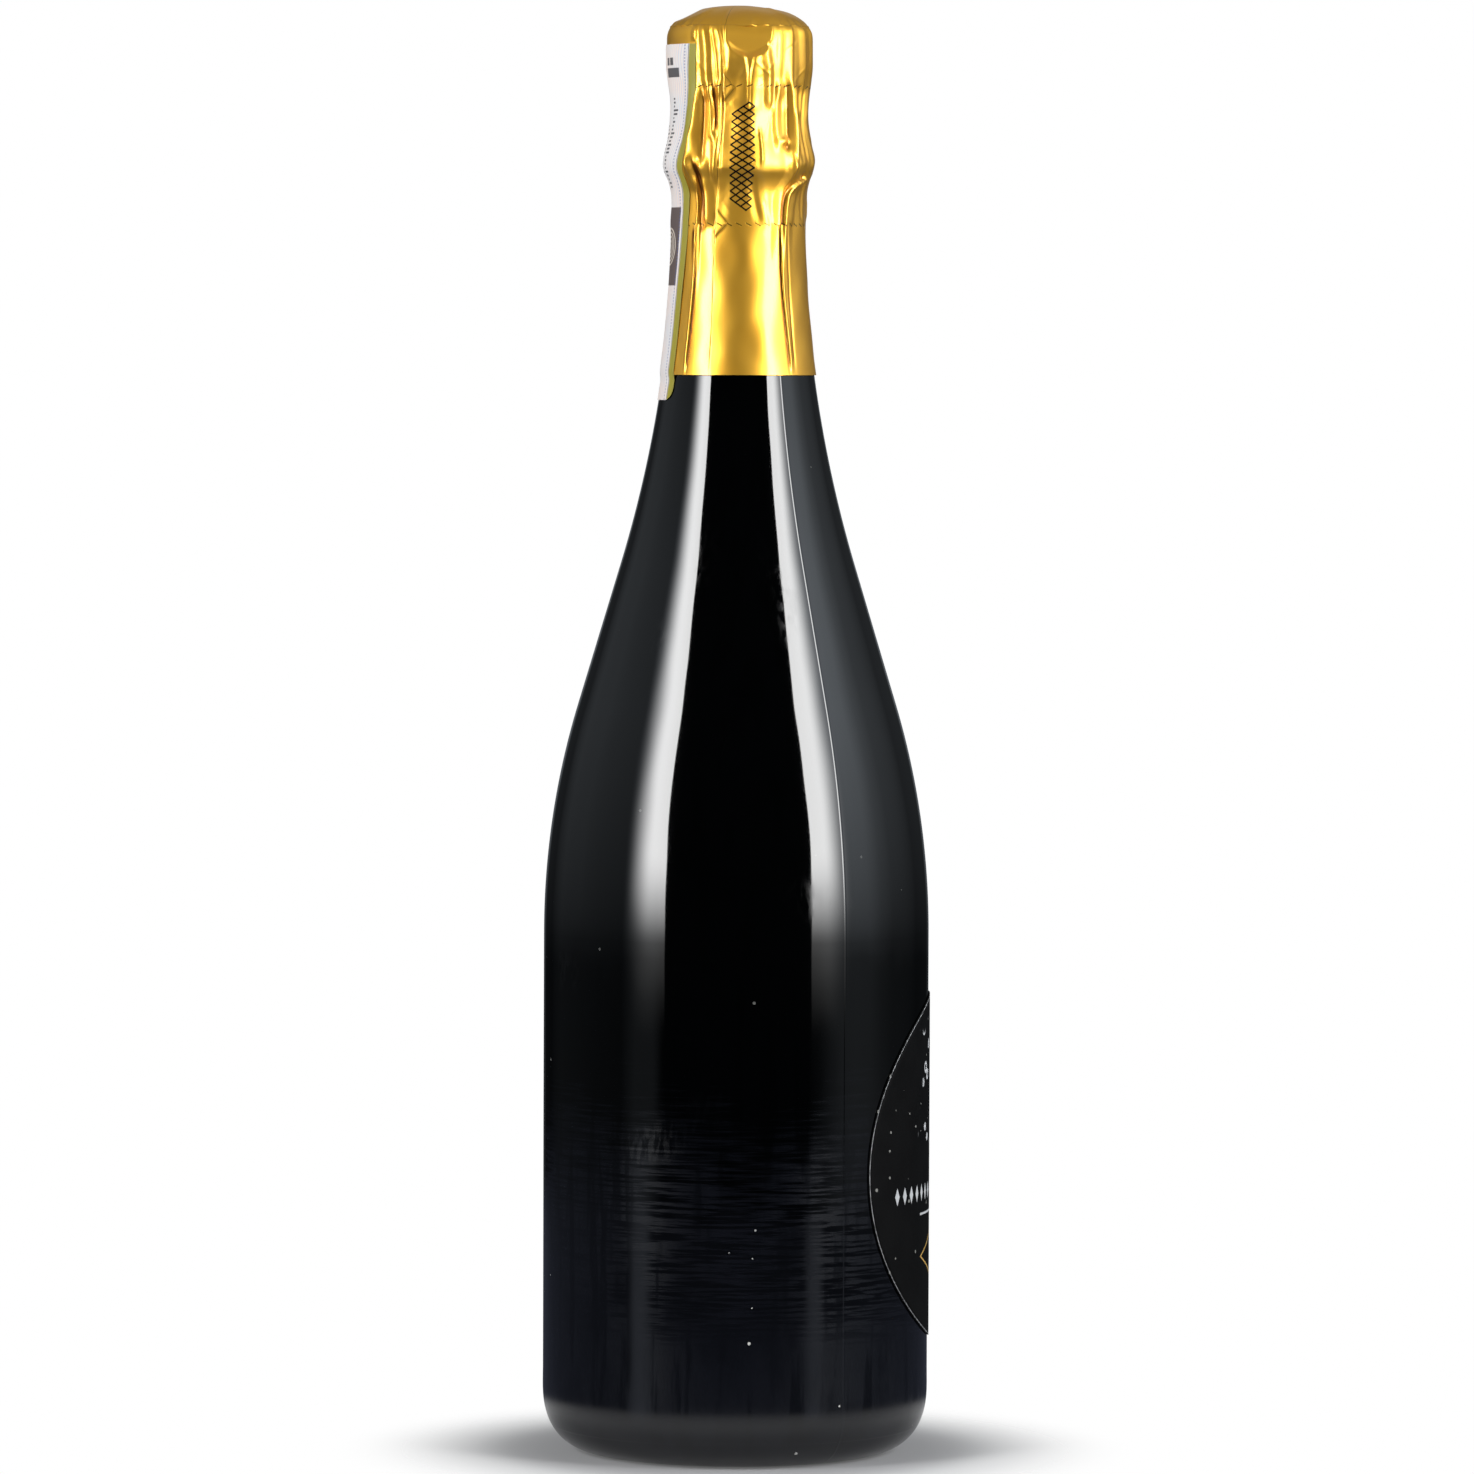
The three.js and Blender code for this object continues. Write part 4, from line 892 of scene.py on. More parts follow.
class Nodes:
    """A node tree with short calls that add a node, set its sockets and return its output."""

    def __init__(self, tree):
        self.tree = tree
        tree.nodes.clear()

    def add(self, kind, sockets=(), **settings):
        node = self.tree.nodes.new(kind)
        for name, value in settings.items():
            setattr(node, name, value)
        for key, value in dict(sockets).items():
            if isinstance(value, Value):
                self.tree.links.new(value.socket, node.inputs[key])
            else:
                node.inputs[key].default_value = value
        return node

    def out(self, kind, sockets=(), output=0, **settings):
        """One output of a new node."""
        return Value(self, self.add(kind, sockets, **settings).outputs[output])

    def math(self, operation, *values, clamp=False):
        return self.out("ShaderNodeMath", enumerate(values), operation=operation, use_clamp=clamp)

    def mix(self, share, first, second):
        return self.out("ShaderNodeMix", {0: share, 6: opaque(first), 7: opaque(second)}, 2, data_type="RGBA")

    def layers(self, colour, *coats):
        """A colour with others laid over it in turn, each by its share."""
        for share, coat in coats:
            colour = self.mix(share, colour, coat)
        return colour

    def ramp(self, value, low, high, start=0.0, end=1.0):
        sockets = {0: value, 1: low, 2: high, 3: start, 4: end}
        return self.out("ShaderNodeMapRange", sockets, interpolation_type="SMOOTHSTEP")

    def near(self, value, middle, inner, outer):
        """1 where value is within inner of middle, and 0 beyond outer."""
        return self.ramp(abs(value - middle), inner, outer, 1.0, 0.0)

    def most(self, first, *others):
        """Greatest of several values."""
        for value in others:
            first = self.math("MAXIMUM", first, value)
        return first

    def length(self, x, y):
        """Length of the diagonal of two sides."""
        return self.math("SQRT", x * x + y * y)

    def scaled(self, vector, scale, turn=(0, 0, 0)):
        return self.out("ShaderNodeMapping", {"Vector": vector, "Scale": scale, "Rotation": turn})

    def noise(self, vector, scale, detail=3.0, roughness=0.5):
        sockets = {"Vector": vector, "Scale": scale, "Detail": detail, "Roughness": roughness}
        return self.out("ShaderNodeTexNoise", sockets)

    def cells(self, vector, scale, output="Distance", feature="F1"):
        return self.out("ShaderNodeTexVoronoi", {"Vector": vector, "Scale": scale}, output, feature=feature)

    def parts(self, vector, kind="ShaderNodeSeparateXYZ"):
        """The three numbers of a vector or a colour."""
        return [Value(self, part) for part in self.add(kind, {0: vector}).outputs]

    def position(self):
        return self.out("ShaderNodeTexCoord", output="Object")

    def measure(self, name):
        """A measure that the mesh carries at each point."""
        return self.out("ShaderNodeAttribute", output="Fac", attribute_name=name)

    def seen(self):
        """1 on rays from the camera, mirrored rays and rays through glass."""
        rays = self.add("ShaderNodeLightPath").outputs
        return self.most(*(Value(self, rays[f"Is {kind} Ray"]) for kind in ("Camera", "Glossy", "Transmission")))

    def group(self, make, **sockets):
        """Outputs of a shared group, by name."""
        sockets = {name.capitalize(): value for name, value in sockets.items()}
        node = self.add("ShaderNodeGroup", sockets, node_tree=make())
        return {output.name: Value(self, output) for output in node.outputs}

    def surface(self, colour, gloss, relief=None, depth=0.0, **sockets):
        """A plain surface, with a relief of 0 to 1 that stands for a depth in metres."""
        sockets = {name.replace("_", " "): value for name, value in sockets.items()}
        if relief is not None:
            sockets["Normal"] = self.out("ShaderNodeBump", {"Height": relief, "Distance": depth, "Strength": 1.0})
        sockets |= {"Base Color": colour, "Roughness": gloss}
        self.add("ShaderNodeOutputMaterial", {"Surface": self.out("ShaderNodeBsdfPrincipled", sockets)})


def material(name):
    """A new material and its nodes."""
    made = bpy.data.materials.new(name)
    made.use_nodes = True
    return made, Nodes(made.node_tree)


def shared(name, outputs, **inputs):
    """Turns a function of nodes and inputs into the maker of a shader node group, made once. Each input has its default
    number, or None where it is a vector, and the function returns the outputs in order."""
    def wrapper(build):
        def make():
            if name in bpy.data.node_groups:
                return bpy.data.node_groups[name]
            tree = bpy.data.node_groups.new(name, "ShaderNodeTree")
            for label, default in inputs.items():
                kind = "NodeSocketVector" if default is None else "NodeSocketFloat"
                socket = tree.interface.new_socket(label.capitalize(), in_out="INPUT", socket_type=kind)
                if default is not None:
                    socket.default_value = default
            for label in outputs:
                tree.interface.new_socket(label, in_out="OUTPUT", socket_type="NodeSocketFloat")
            nodes = Nodes(tree)
            given = nodes.add("NodeGroupInput").outputs
            results = build(nodes, *(Value(nodes, given[label.capitalize()]) for label in inputs))
            nodes.add("NodeGroupOutput", zip(outputs, results))
            return tree
        return make
    return wrapper


@shared("Wrapped position", ("Across", "Height"), position=None, turn=0.0, radius=15.0)
def wrapped_position(nodes, position, turn, radius):
    """Millimetres round a surface of one radius from a turn, and millimetres of height."""
    x, y, z = nodes.parts(position)
    away = nodes.math("WRAP", nodes.math("ARCTAN2", y, x) - turn, math.pi, -math.pi)
    return away * radius, z * 1000.0


@shared("Dust specks", ("Specks",), position=None, density=120.0, size=0.03, share=0.3)
def dust_specks(nodes, position, density, size, share):
    """A mask of small specks, scattered thinly, of uneven size."""
    chance = nodes.parts(nodes.cells(position, density, "Color"), "ShaderNodeSeparateColor")
    inside = chance[1] ** 3.0 * size > nodes.cells(position, density)
    return [inside * (chance[0] < share)]


@shared("Paper fibre", ("Height", "Tint"), position=None)
def paper_fibre(nodes, position):
    """Height and tint of pressed paper fibres."""
    coarse = nodes.noise(position, 900.0, 4.0, 0.6)
    fine = nodes.noise(nodes.scaled(position, (5200, 5200, 1500)), 1.0, 2.0)
    return fine * 0.5 + coarse * 0.5, nodes.ramp(nodes.noise(position, 130.0, 3.0), 0.3, 0.7)


@shared("Satin metal", ("Speckle", "Drift"), position=None, scale=2600.0)
def satin_metal(nodes, position, scale):
    """Fine speckle and drifting gloss of rolled foil and lacquered plate."""
    return nodes.noise(position, scale, 2.0, 0.7), nodes.noise(position, 140.0, 3.0)


@shared("Cork grain", ("Tone", "Joint", "Pores"), position=None, grain=700.0)
def cork_grain(nodes, position, grain):
    """Cells of cork at a grain size, each with its own tone, and the dark joints and pores between them."""
    drift = nodes.out("ShaderNodeTexNoise", {"Vector": position, "Scale": 300.0}, "Color")
    bent = nodes.out("ShaderNodeVectorMath", {0: position, 1: drift}, operation="MULTIPLY")
    warped = nodes.out("ShaderNodeVectorMath", {0: position, 1: bent}, operation="ADD")
    tone = nodes.parts(nodes.cells(warped, grain, "Color"), "ShaderNodeSeparateColor")[0]
    joint = nodes.ramp(nodes.cells(warped, grain, feature="DISTANCE_TO_EDGE"), 0.02, 0.12, 1.0, 0.0)
    return tone, joint, nodes.ramp(nodes.noise(position, 950.0, 3.0, 0.7), 0.56, 0.68)


def dark_glass(settings):
    """Near-black glass: two mould seams and a heel line in relief, a thin dusty film low on the body that wiping has
    streaked, fingertip smudges and a few specks of dust."""
    made, nodes = material("Dark glass")
    position = nodes.position()
    x, y, z = nodes.parts(position)
    seam_turn = math.radians(settings.seam_turn)
    seam = nodes.near(x * math.sin(seam_turn) - y * math.cos(seam_turn), 0.0, 0.00005, 0.00035)
    heel_line = nodes.near(z, 0.0062, 0.0001, 0.0004) * (nodes.length(x, y) > 0.036)
    ripple = nodes.noise(nodes.scaled(position, (1, 1, 0.35)), 55.0, 2.0)
    relief = seam * 0.10 + heel_line * 0.10 + ripple * 0.35
    round_body = nodes.noise(nodes.scaled(position, (70, 70, 1500)), 1.0, 3.0, 0.6)
    down = nodes.noise(nodes.scaled(position, (260, 260, 22), (0.18, 0.1, 0)), 1.0, 5.0, 0.6)
    swirl = nodes.noise(nodes.scaled(position, (60, 60, 34), (0.5, 0.3, 0)), 1.0, 3.0)
    ragged = (round_body - 0.5) * 0.05 + ((swirl - 0.5) * 0.05 + z)
    side = nodes.ramp(x * 0.28 - y * 0.96, 0.016, 0.034, 0.25, 1.0)
    streaks = nodes.ramp(round_body, 0.46, 0.56) * nodes.near(z, 0.050, 0.010, 0.026) * side
    wiped = nodes.most(nodes.ramp(down, 0.50, 0.62) * 0.5, streaks)
    film = nodes.ramp(ragged, 0.056, 0.084, 1.0, 0.06) * nodes.ramp(swirl, 0.25, 0.55, 0.35, 1.0) * (1.0 - wiped * 0.9)
    whorls = nodes.noise(nodes.scaled(position, (900, 900, 260), (0.4, 0.2, 0)), 1.0, 2.0)
    prints = nodes.ramp(nodes.noise(position, 26.0, 2.0), 0.60, 0.72) * nodes.ramp(whorls, 0.42, 0.6)
    specks = nodes.most(*(
        nodes.group(dust_specks, position=position, density=density, size=size, share=share)["Specks"]
        for density, size, share in ((95.0, 0.055, 0.55), (210.0, 0.085, 0.35))))
    dust = specks * nodes.ramp(z, 0.03, 0.12, 1.0, 0.12)
    colour = nodes.layers(settings.glass_colour, (film, settings.film_colour), (dust, (0.55, 0.55, 0.52)))
    gloss = settings.roughness + film * 0.16 + prints * 0.10 + dust * 0.5
    nodes.surface(colour, gloss, relief, 0.0004, IOR=1.55)
    return made


def gold_foil(settings):
    """Gold foil: satin speckle that drifts in gloss, painted shade that darkens the depth of its creases, a row of
    slanted nicks along each tear line, a thin line of painted shade along the lap's cut edge and its tongues, and a
    black diamond lattice printed down a narrow panel of the tear band."""
    made, nodes = material("Gold foil")
    position = nodes.position()
    wrapped = nodes.group(
        wrapped_position, position=position, turn=math.radians(FOLD_SIDE), radius=FOIL_MEAN_RADIUS)
    across, height = wrapped["Across"], wrapped["Height"]
    satin = nodes.group(satin_metal, position=position, scale=2600.0)
    pitch = 2 * math.pi * FOIL_MEAN_RADIUS / NICKS
    along = nodes.math("WRAP", across, pitch / 2, -pitch / 2)
    nicks = nodes.most(*(
        nodes.near(along * -lean + (height - line), 0.0, 0.06, 0.17) * nodes.near(along, 0.0, 0.62, 0.72)
        for line, lean in ((UPPER_TEAR, 0.42), (LOWER_TEAR, -0.5))))
    seam = -11.5
    for high, low, drift in ((324.0, 299.0, -1.8), (299.0, 272.0, -7.3), (272.0, 241.0, -1.5)):
        seam = seam + nodes.out("ShaderNodeMapRange", {0: height, 1: high, 2: low, 3: 0.0, 4: drift})
    # Painted shade: a thin dark line along the lap's cut edge and round its tongues, standing in for the shade under
    # the step of the overlapping foil.
    off_seam = seam * -math.radians(FOIL_MEAN_RADIUS) + across
    lap_edge_shade = nodes.near(off_seam, 0.0, 0.03, 0.13)
    for line, reach in zip(TONGUE_LINES, (2.62, 2.90)):
        aside = abs(height - line) * (reach / TONGUE_HALF)
        tongue = nodes.near(off_seam + aside - reach, 0.0, 0.03, 0.13) * nodes.near(aside, 0.0, reach, reach + 0.1)
        lap_edge_shade = nodes.most(lap_edge_shade, tongue)
    panel = height * -0.0232 + (across + 6.04)
    one_way, rise = panel / LATTICE_WIDTH, height / LATTICE_RISE
    lines = nodes.math("MINIMUM", *(nodes.math("PINGPONG", slant, 0.5) for slant in (one_way + rise, one_way - rise)))
    from_point = abs(panel - LATTICE_WIDTH / 2)
    printed = (
        nodes.ramp(lines, 0.10, 0.15, 1.0, 0.0) * nodes.near(panel, 0.0, 2.55, 2.7)
        * (height < from_point * -0.68 + 302.0) * (height > from_point * 0.68 + 277.7))
    # Painted shade: the foil's colour is darkened to orange-brown and then to near black by each point's depth below
    # its neighbours. It stands in for the shade deep in the creases, and the coat is thinned there too. On the sleeve
    # the depth counts up to 2.6 times, so that its long creases read dark.
    crease = nodes.measure("crease") * nodes.ramp(height, LOWER_TEAR - 2.0, LOWER_TEAR, 2.6, 1.0)
    colour = nodes.layers(
        settings.deep_colour, (satin["Drift"], settings.foil_colour),
        (nodes.ramp(crease, 0.08, 0.38, 0.0, 0.8), (0.46, 0.16, 0.010)),
        (nodes.ramp(crease, 0.26, 0.46, 0.0, 0.85), (0.09, 0.026, 0.002)),
        (nodes.most(nicks, lap_edge_shade * 0.6) * 0.85, (0.05, 0.025, 0.004)), (printed, (0.004, 0.004, 0.004)))
    lacquer = nodes.ramp(crease, 0.26, 0.46, 0.45, 0.1) * nodes.ramp(height, 315.5, 317.0, 1.0, 0.3)
    gloss = satin["Speckle"] * 0.015 + satin["Drift"] * 0.06 + settings.roughness
    nodes.surface(
        colour, gloss, nicks * -1.0, 0.00012, Coat_Weight=lacquer, Metallic=0.82, Coat_Roughness=0.11, Coat_IOR=1.6)
    return made


def black_label(settings):
    """Matt black paper with a silver hairline round its rim, a field of plain silver rings over a row of small silver
    lozenges and a rule, a gold lozenge line, and pale flecks in the stock."""
    made, nodes = material("Black label paper")
    position = nodes.position()
    wrapped = nodes.group(wrapped_position, position=position, turn=0.0, radius=BODY_RADIUS)
    across, up = wrapped["Across"], wrapped["Height"] - LABEL_HEIGHT
    fibre = nodes.group(paper_fibre, position=position)
    worn = nodes.ramp(nodes.noise(position, 900.0, 2.0), 0.35, 0.65, 0.35, 0.9)
    rim = nodes.near(nodes.length(across, up), LABEL_RADIUS - 0.35, 0.05, 0.14) * worn
    off_bead = abs(up + 5.2) / 2.0 + nodes.math("PINGPONG", across, 1.6) / 0.9
    beads = (off_bead < 1.0) * nodes.near(across, 0.0, 29.8, 29.9)
    rule = nodes.near(up, -10.0, 0.2, 0.3) * nodes.near(across, 0.0, 17.0, 17.2)
    ring = nodes.near(nodes.cells(nodes.out("ShaderNodeCombineXYZ", {0: across, 1: up}), 0.24), 0.27, 0.05, 0.09)
    sway = nodes.math("SINE", up * 0.22) * 1.5 + across
    bubbles = ring * nodes.near(sway, 0.0, 15.5, 17.5) * nodes.near(up, 18.0, 11.5, 13.5)
    lozenge = nodes.near(abs(across) * 0.42 + abs(up + 19.5), 7.0, 0.16, 0.28)
    specks = nodes.group(dust_specks, position=position, density=620.0, size=0.26, share=0.30)["Specks"]
    colour = nodes.layers(
        settings.label_colour, (fibre["Tint"], times(settings.label_colour, 1.5)),
        (nodes.most(rim, rule, bubbles, beads), (0.52, 0.53, 0.54)), (lozenge, (0.50, 0.31, 0.09)),
        (specks * 0.5, (0.5, 0.5, 0.46)))
    nodes.surface(colour, fibre["Height"] * 0.18 + 0.60, fibre["Height"], 0.00003, Specular_IOR_Level=0.08)
    return made


def seal_paper(settings):
    """Seal paper: off-white stock with a pale engraved wave tint, an olive border and a fine dark rule down one edge,
    a brown panel near its middle, and small plain blocks and dots."""
    made, nodes = material("Seal paper")
    position = nodes.position()
    height, across = nodes.parts(position)[2] * 1000.0, nodes.measure("aside")
    fibre = nodes.group(paper_fibre, position=position)
    ripple, second = (
        nodes.math("SINE", nodes.math("SINE", height * climb) * sway + across * count)
        for climb, sway, count in ((0.55, 2.4, 7.0), (0.8, -2.0, 6.0)))
    up, aside = height - SEAL_PANEL_HEIGHT, across - SEAL_PANEL_ASIDE
    panel = nodes.near(up, 0.0, 8.6, 8.8) * nodes.near(aside, 0.0, 5.6, 5.8)
    out = nodes.length(up, aside)
    rosette = nodes.near(nodes.math("PINGPONG", out, 0.9), 0.45, 0.14, 0.24) * (out < 4.4)
    blocks = [
        nodes.near(height, level, tall, tall + 0.08) * nodes.near(across, middle, wide, wide + 0.08)
        for level, middle, tall, wide in ((308.6, 1.4, 1.0, 3.0), (311.1, -0.8, 0.8, 0.8), (311.1, 1.4, 0.8, 0.8))]
    rung = height / 0.85
    length = nodes.out("ShaderNodeTexWhiteNoise", {"W": nodes.math("FLOOR", rung)}, "Value", noise_dimensions="1D")
    bars = [
        (nodes.math("FRACT", rung) < 0.5) * (across > start) * (across < length * 2.0 + (start + 0.6))
        * nodes.near(height, middle, reach, reach + 0.05)
        for start, middle, reach in ((1.2, 293.0, 10.0), (-2.6, 290.0, 7.5))]
    dots = (nodes.math("FRACT", height / 0.7) < 0.6) * nodes.near(across, 6.6, 0.2, 0.3)
    colour = nodes.layers(
        settings.seal_colour, (fibre["Tint"], (0.86, 0.74, 0.66)),
        (nodes.ramp(ripple, 0.55, 0.95) * nodes.ramp(across, 0.0, 7.0, 0.2, 0.8), (0.50, 0.58, 0.74)),
        (nodes.ramp(second, 0.6, 0.95) * 0.35, (0.78, 0.55, 0.52)),
        (nodes.near(across, 9.4, 1.4, 1.5), settings.border_colour),
        (nodes.near(across, 7.75, 0.06, 0.14), (0.10, 0.09, 0.05)), (panel * 0.92, (0.06, 0.035, 0.03)),
        (rosette * 0.8, (0.75, 0.66, 0.55)), (dots * 0.55, (0.12, 0.15, 0.32)),
        (nodes.most(*blocks, *bars) * 0.9, (0.03, 0.03, 0.035)))
    nodes.surface(colour, fibre["Height"] * 0.2 + 0.5, fibre["Height"], 0.00004)
    return made


def cork_stock(name, settings, grain, spread, seams, pith):
    """Cork: cells of one grain size, each a little lighter or darker, with dark joints and pores."""
    made, nodes = material(name)
    cork = nodes.group(cork_grain, position=nodes.scaled(nodes.position(), spread), grain=grain)
    tone, joint, pores = cork["Tone"], cork["Joint"], cork["Pores"]
    colour = nodes.layers(
        settings.cork_colour, (tone, settings.cork_dark), (joint * seams, (0.16, 0.085, 0.04)),
        (pores * pith, (0.08, 0.04, 0.02)))
    nodes.surface(colour, tone * 0.1 + 0.78, tone * 0.4 - (joint + pores), 0.00015)
    return made


def zinc_wire(settings):
    """Zinc-plated wire: bright grey with dull and brighter spangle and fine drawing marks."""
    made, nodes = material("Zinc wire")
    position = nodes.position()
    spangle = nodes.noise(position, 1500.0, 4.0, 0.6)
    drawn = nodes.noise(nodes.scaled(position, (4200, 4200, 500)), 1.0, 2.0)
    colour = nodes.mix(spangle, times(settings.wire_colour, 0.7), settings.wire_colour)
    nodes.surface(colour, spangle * 0.25 + 0.20, drawn, 0.00002, Metallic=1.0)
    return made


def plaque_lacquer(settings):
    """Gold lacquer on tinplate: satin, with a ring of small beads pressed in and rubbed grey where the wire bears."""
    made, nodes = material("Plaque lacquer")
    position = nodes.position()
    x, y, _ = nodes.parts(position)
    out = nodes.length(x, y) * 1000.0
    dealt = nodes.math("SINE", nodes.math("ARCTAN2", y, x) * 36.0)
    beads = nodes.near(out, 7.6, 0.35, 0.75) * nodes.ramp(dealt, -0.1, 0.7)
    satin = nodes.group(satin_metal, position=position, scale=1800.0)
    rubbed = nodes.near(out, CROWN_RADIUS, 0.3, 0.8) * nodes.ramp(satin["Drift"], 0.4, 0.6)
    colour = nodes.layers(
        times(settings.plaque_colour, 0.8), (satin["Drift"], settings.plaque_colour),
        (rubbed * 0.6, (0.45, 0.44, 0.42)))
    nodes.surface(colour, satin["Speckle"] * 0.15 + 0.24, beads, 0.0002, Metallic=1.0)
    return made


def pale_wine(settings):
    """Wine: clear pale gold with threads of fine bubbles."""
    made, nodes = material("Pale wine")
    position = nodes.position()
    drawn_up = nodes.scaled(position, (1, 1, 0.7))
    beads = nodes.group(dust_specks, position=drawn_up, density=260.0, size=0.22, share=0.5)["Specks"]
    colour = nodes.layers(
        settings.wine_colour, (nodes.noise(position, 30.0, 2.0), times(settings.wine_colour, 0.85)),
        (beads * 0.5, (0.95, 0.92, 0.80)))
    nodes.surface(colour, beads * 0.2 + 0.04, IOR=1.34)
    return made


class GlassSettings(bpy.types.PropertyGroup):
    """Sizes and colours of the glass and the wine in it."""

    glass_colour: FloatVectorProperty(
        name="Glass", description="Colour of the dark glass", subtype="COLOR", min=0, max=1,
        default=(0.0003, 0.0004, 0.0004))
    film_colour: FloatVectorProperty(
        name="Film", description="Colour of the dusty film low on the body", subtype="COLOR", min=0, max=1,
        default=(0.0036, 0.0041, 0.0062))
    wine_colour: FloatVectorProperty(
        name="Wine", description="Colour of the wine", subtype="COLOR", min=0, max=1, default=(0.79, 0.62, 0.25))
    roughness: FloatProperty(
        name="Roughness", description="Roughness of the clean glass", subtype="FACTOR", min=0, max=1, default=0.035)
    unevenness: FloatProperty(
        name="Unevenness", description="Depth of the blown glass's soft waves, in millimetres", min=0, max=0.5,
        default=0.035)
    seam_turn: FloatProperty(
        name="Seam turn", description="Turn of the mould seams round the bottle, in degrees", default=-60.0)
    columns: IntProperty(name="Columns", description="Faces round the glass", min=64, max=400, default=256)


class FoilSettings(bpy.types.PropertyGroup):
    """Crumple and colours of the foil hood."""

    foil_colour: FloatVectorProperty(
        name="Foil", description="Colour of the gold foil", subtype="COLOR", min=0, max=1, default=(0.97, 0.54, 0.06))
    deep_colour: FloatVectorProperty(
        name="Deep gold", description="Deeper tone that drifts through the foil", subtype="COLOR", min=0, max=1,
        default=(0.94, 0.46, 0.035))
    roughness: FloatProperty(
        name="Roughness", description="Least roughness of the foil", subtype="FACTOR", min=0, max=1, default=0.33)
    crumple: FloatProperty(name="Crumple", description="Depth of the folds, 1 as listed", min=0, max=1.5, default=0.9)
    seed: IntProperty(name="Seed", description="Arrangement of the small crinkles", default=5)
    columns: IntProperty(name="Columns", description="Faces round the hood", min=96, max=660, default=640)


class PaperSettings(bpy.types.PropertyGroup):
    """Colours of the label and the seal strip."""

    label_colour: FloatVectorProperty(
        name="Label", description="Colour of the label's paper", subtype="COLOR", min=0, max=1,
        default=(0.0022, 0.0022, 0.0023))
    seal_colour: FloatVectorProperty(
        name="Seal", description="Colour of the seal strip's paper", subtype="COLOR", min=0, max=1,
        default=(0.76, 0.75, 0.73))
    border_colour: FloatVectorProperty(
        name="Border", description="Colour of the seal strip's border", subtype="COLOR", min=0, max=1,
        default=(0.32, 0.28, 0.03))


class ClosureSettings(bpy.types.PropertyGroup):
    """Sizes and colours of the cork and the wire cage."""

    cork_colour: FloatVectorProperty(
        name="Cork", description="Lighter tone of the cork", subtype="COLOR", min=0, max=1, default=(0.58, 0.37, 0.19))
    cork_dark: FloatVectorProperty(
        name="Dark cork", description="Darker tone of the cork", subtype="COLOR", min=0, max=1,
        default=(0.36, 0.20, 0.09))
    wire_colour: FloatVectorProperty(
        name="Wire", description="Colour of the zinc-plated wire", subtype="COLOR", min=0, max=1,
        default=(0.62, 0.62, 0.60))
    plaque_colour: FloatVectorProperty(
        name="Plaque", description="Colour of the plaque's lacquer", subtype="COLOR", min=0, max=1,
        default=(0.66, 0.46, 0.13))
    wire: FloatProperty(
        name="Wire size", description="Diameter of the wire, in millimetres", min=0.5, max=1.0, default=0.8)


class StageSettings(bpy.types.PropertyGroup):
    """Camera, lamps and floor."""

    view_turn: FloatProperty(
        name="View turn", description="Turn of the camera round the bottle, in degrees", default=-93.9)
    distance: FloatProperty(name="Distance", description="Distance of the camera", unit="LENGTH", default=1.88)
    eye_height: FloatProperty(name="Eye height", description="Height of the camera", unit="LENGTH", default=0.245)
    aim_height: FloatProperty(
        name="Aim height", description="Height that the camera looks at", unit="LENGTH", default=0.1603)
    lens: FloatProperty(name="Lens", description="Focal length, in millimetres", default=205.0)
    roll: FloatProperty(name="Roll", description="Lean of the camera, in degrees", default=0.2)
    softbox: FloatProperty(name="Softbox", description="Brightness of the two soft boxes", min=0, default=15.5)
    floor_colour: FloatVectorProperty(
        name="Floor", description="Colour of the floor", subtype="COLOR", min=0, max=1, default=(0.66, 0.66, 0.66))


class BOTTLE_OT_glass(bpy.types.Operator):
    """Make the glass, and give the wine its finish"""

    bl_idname = "bottle.glass"
    bl_label = "Glass and wine"

    def execute(self, context):
        settings = context.scene.bottle_glass
        skin = glass_patch(settings.columns, settings.unevenness)
        place("bottle_glass", [skin], dark_glass(settings), "bottle", "glass", "glass_bottle")
        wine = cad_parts["wine"].data.materials
        wine.clear()
        wine.append(pale_wine(settings))
        return {"FINISHED"}


class BOTTLE_OT_paper(bpy.types.Operator):
    """Make the round label and the two lengths of the seal strip"""

    bl_idname = "bottle.paper"
    bl_label = "Label and seal strip"

    def execute(self, context):
        settings = context.scene.bottle_paper
        place("round_label", [label_patch()], black_label(settings), "bottle", "label_paper", "front_label")
        paper = seal_paper(settings)
        for name, body, low, high, rows, node in (
                ("seal_tail", "bottle", STRIP_BOTTOM, LOWER_TEAR, 60, "seal_strip_lower"),
                ("seal_head", "hood", LOWER_TEAR, STRIP_TOP, 90, "seal_strip_upper")):
            strip, aside = strip_patch(low, high, rows)
            place(name, [strip], paper, body, "seal_paper", node, aside=aside)
        return {"FINISHED"}


class BOTTLE_OT_foil(bpy.types.Operator):
    """Make the foil hood's cap, top disc, tear band and sleeve"""

    bl_idname = "bottle.foil"
    bl_label = "Foil hood"

    def execute(self, context):
        settings = context.scene.bottle_foil
        gold = gold_foil(settings)
        band, flap = band_patches(settings)
        for name, (skin, creases), body, node in (
                ("hood_cap", cap_patch(settings), "hood", "foil_cap"),
                ("hood_band", band, "hood", "foil_tear_band"),
                ("neck_sleeve", sleeve_patch(settings), "bottle", "foil_sleeve")):
            place(name, [skin], gold, body, "foil", node, crease=creases)
        over_key = place("key_flap", [flap[0]], gold, "hood", "foil", "foil_tear_band", crease=flap[1])
        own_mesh(over_key)
        place("hood_disc", [disc_patch(320, settings.seed)], gold, "hood", "foil", "foil_top_disc")
        return {"FINISHED"}


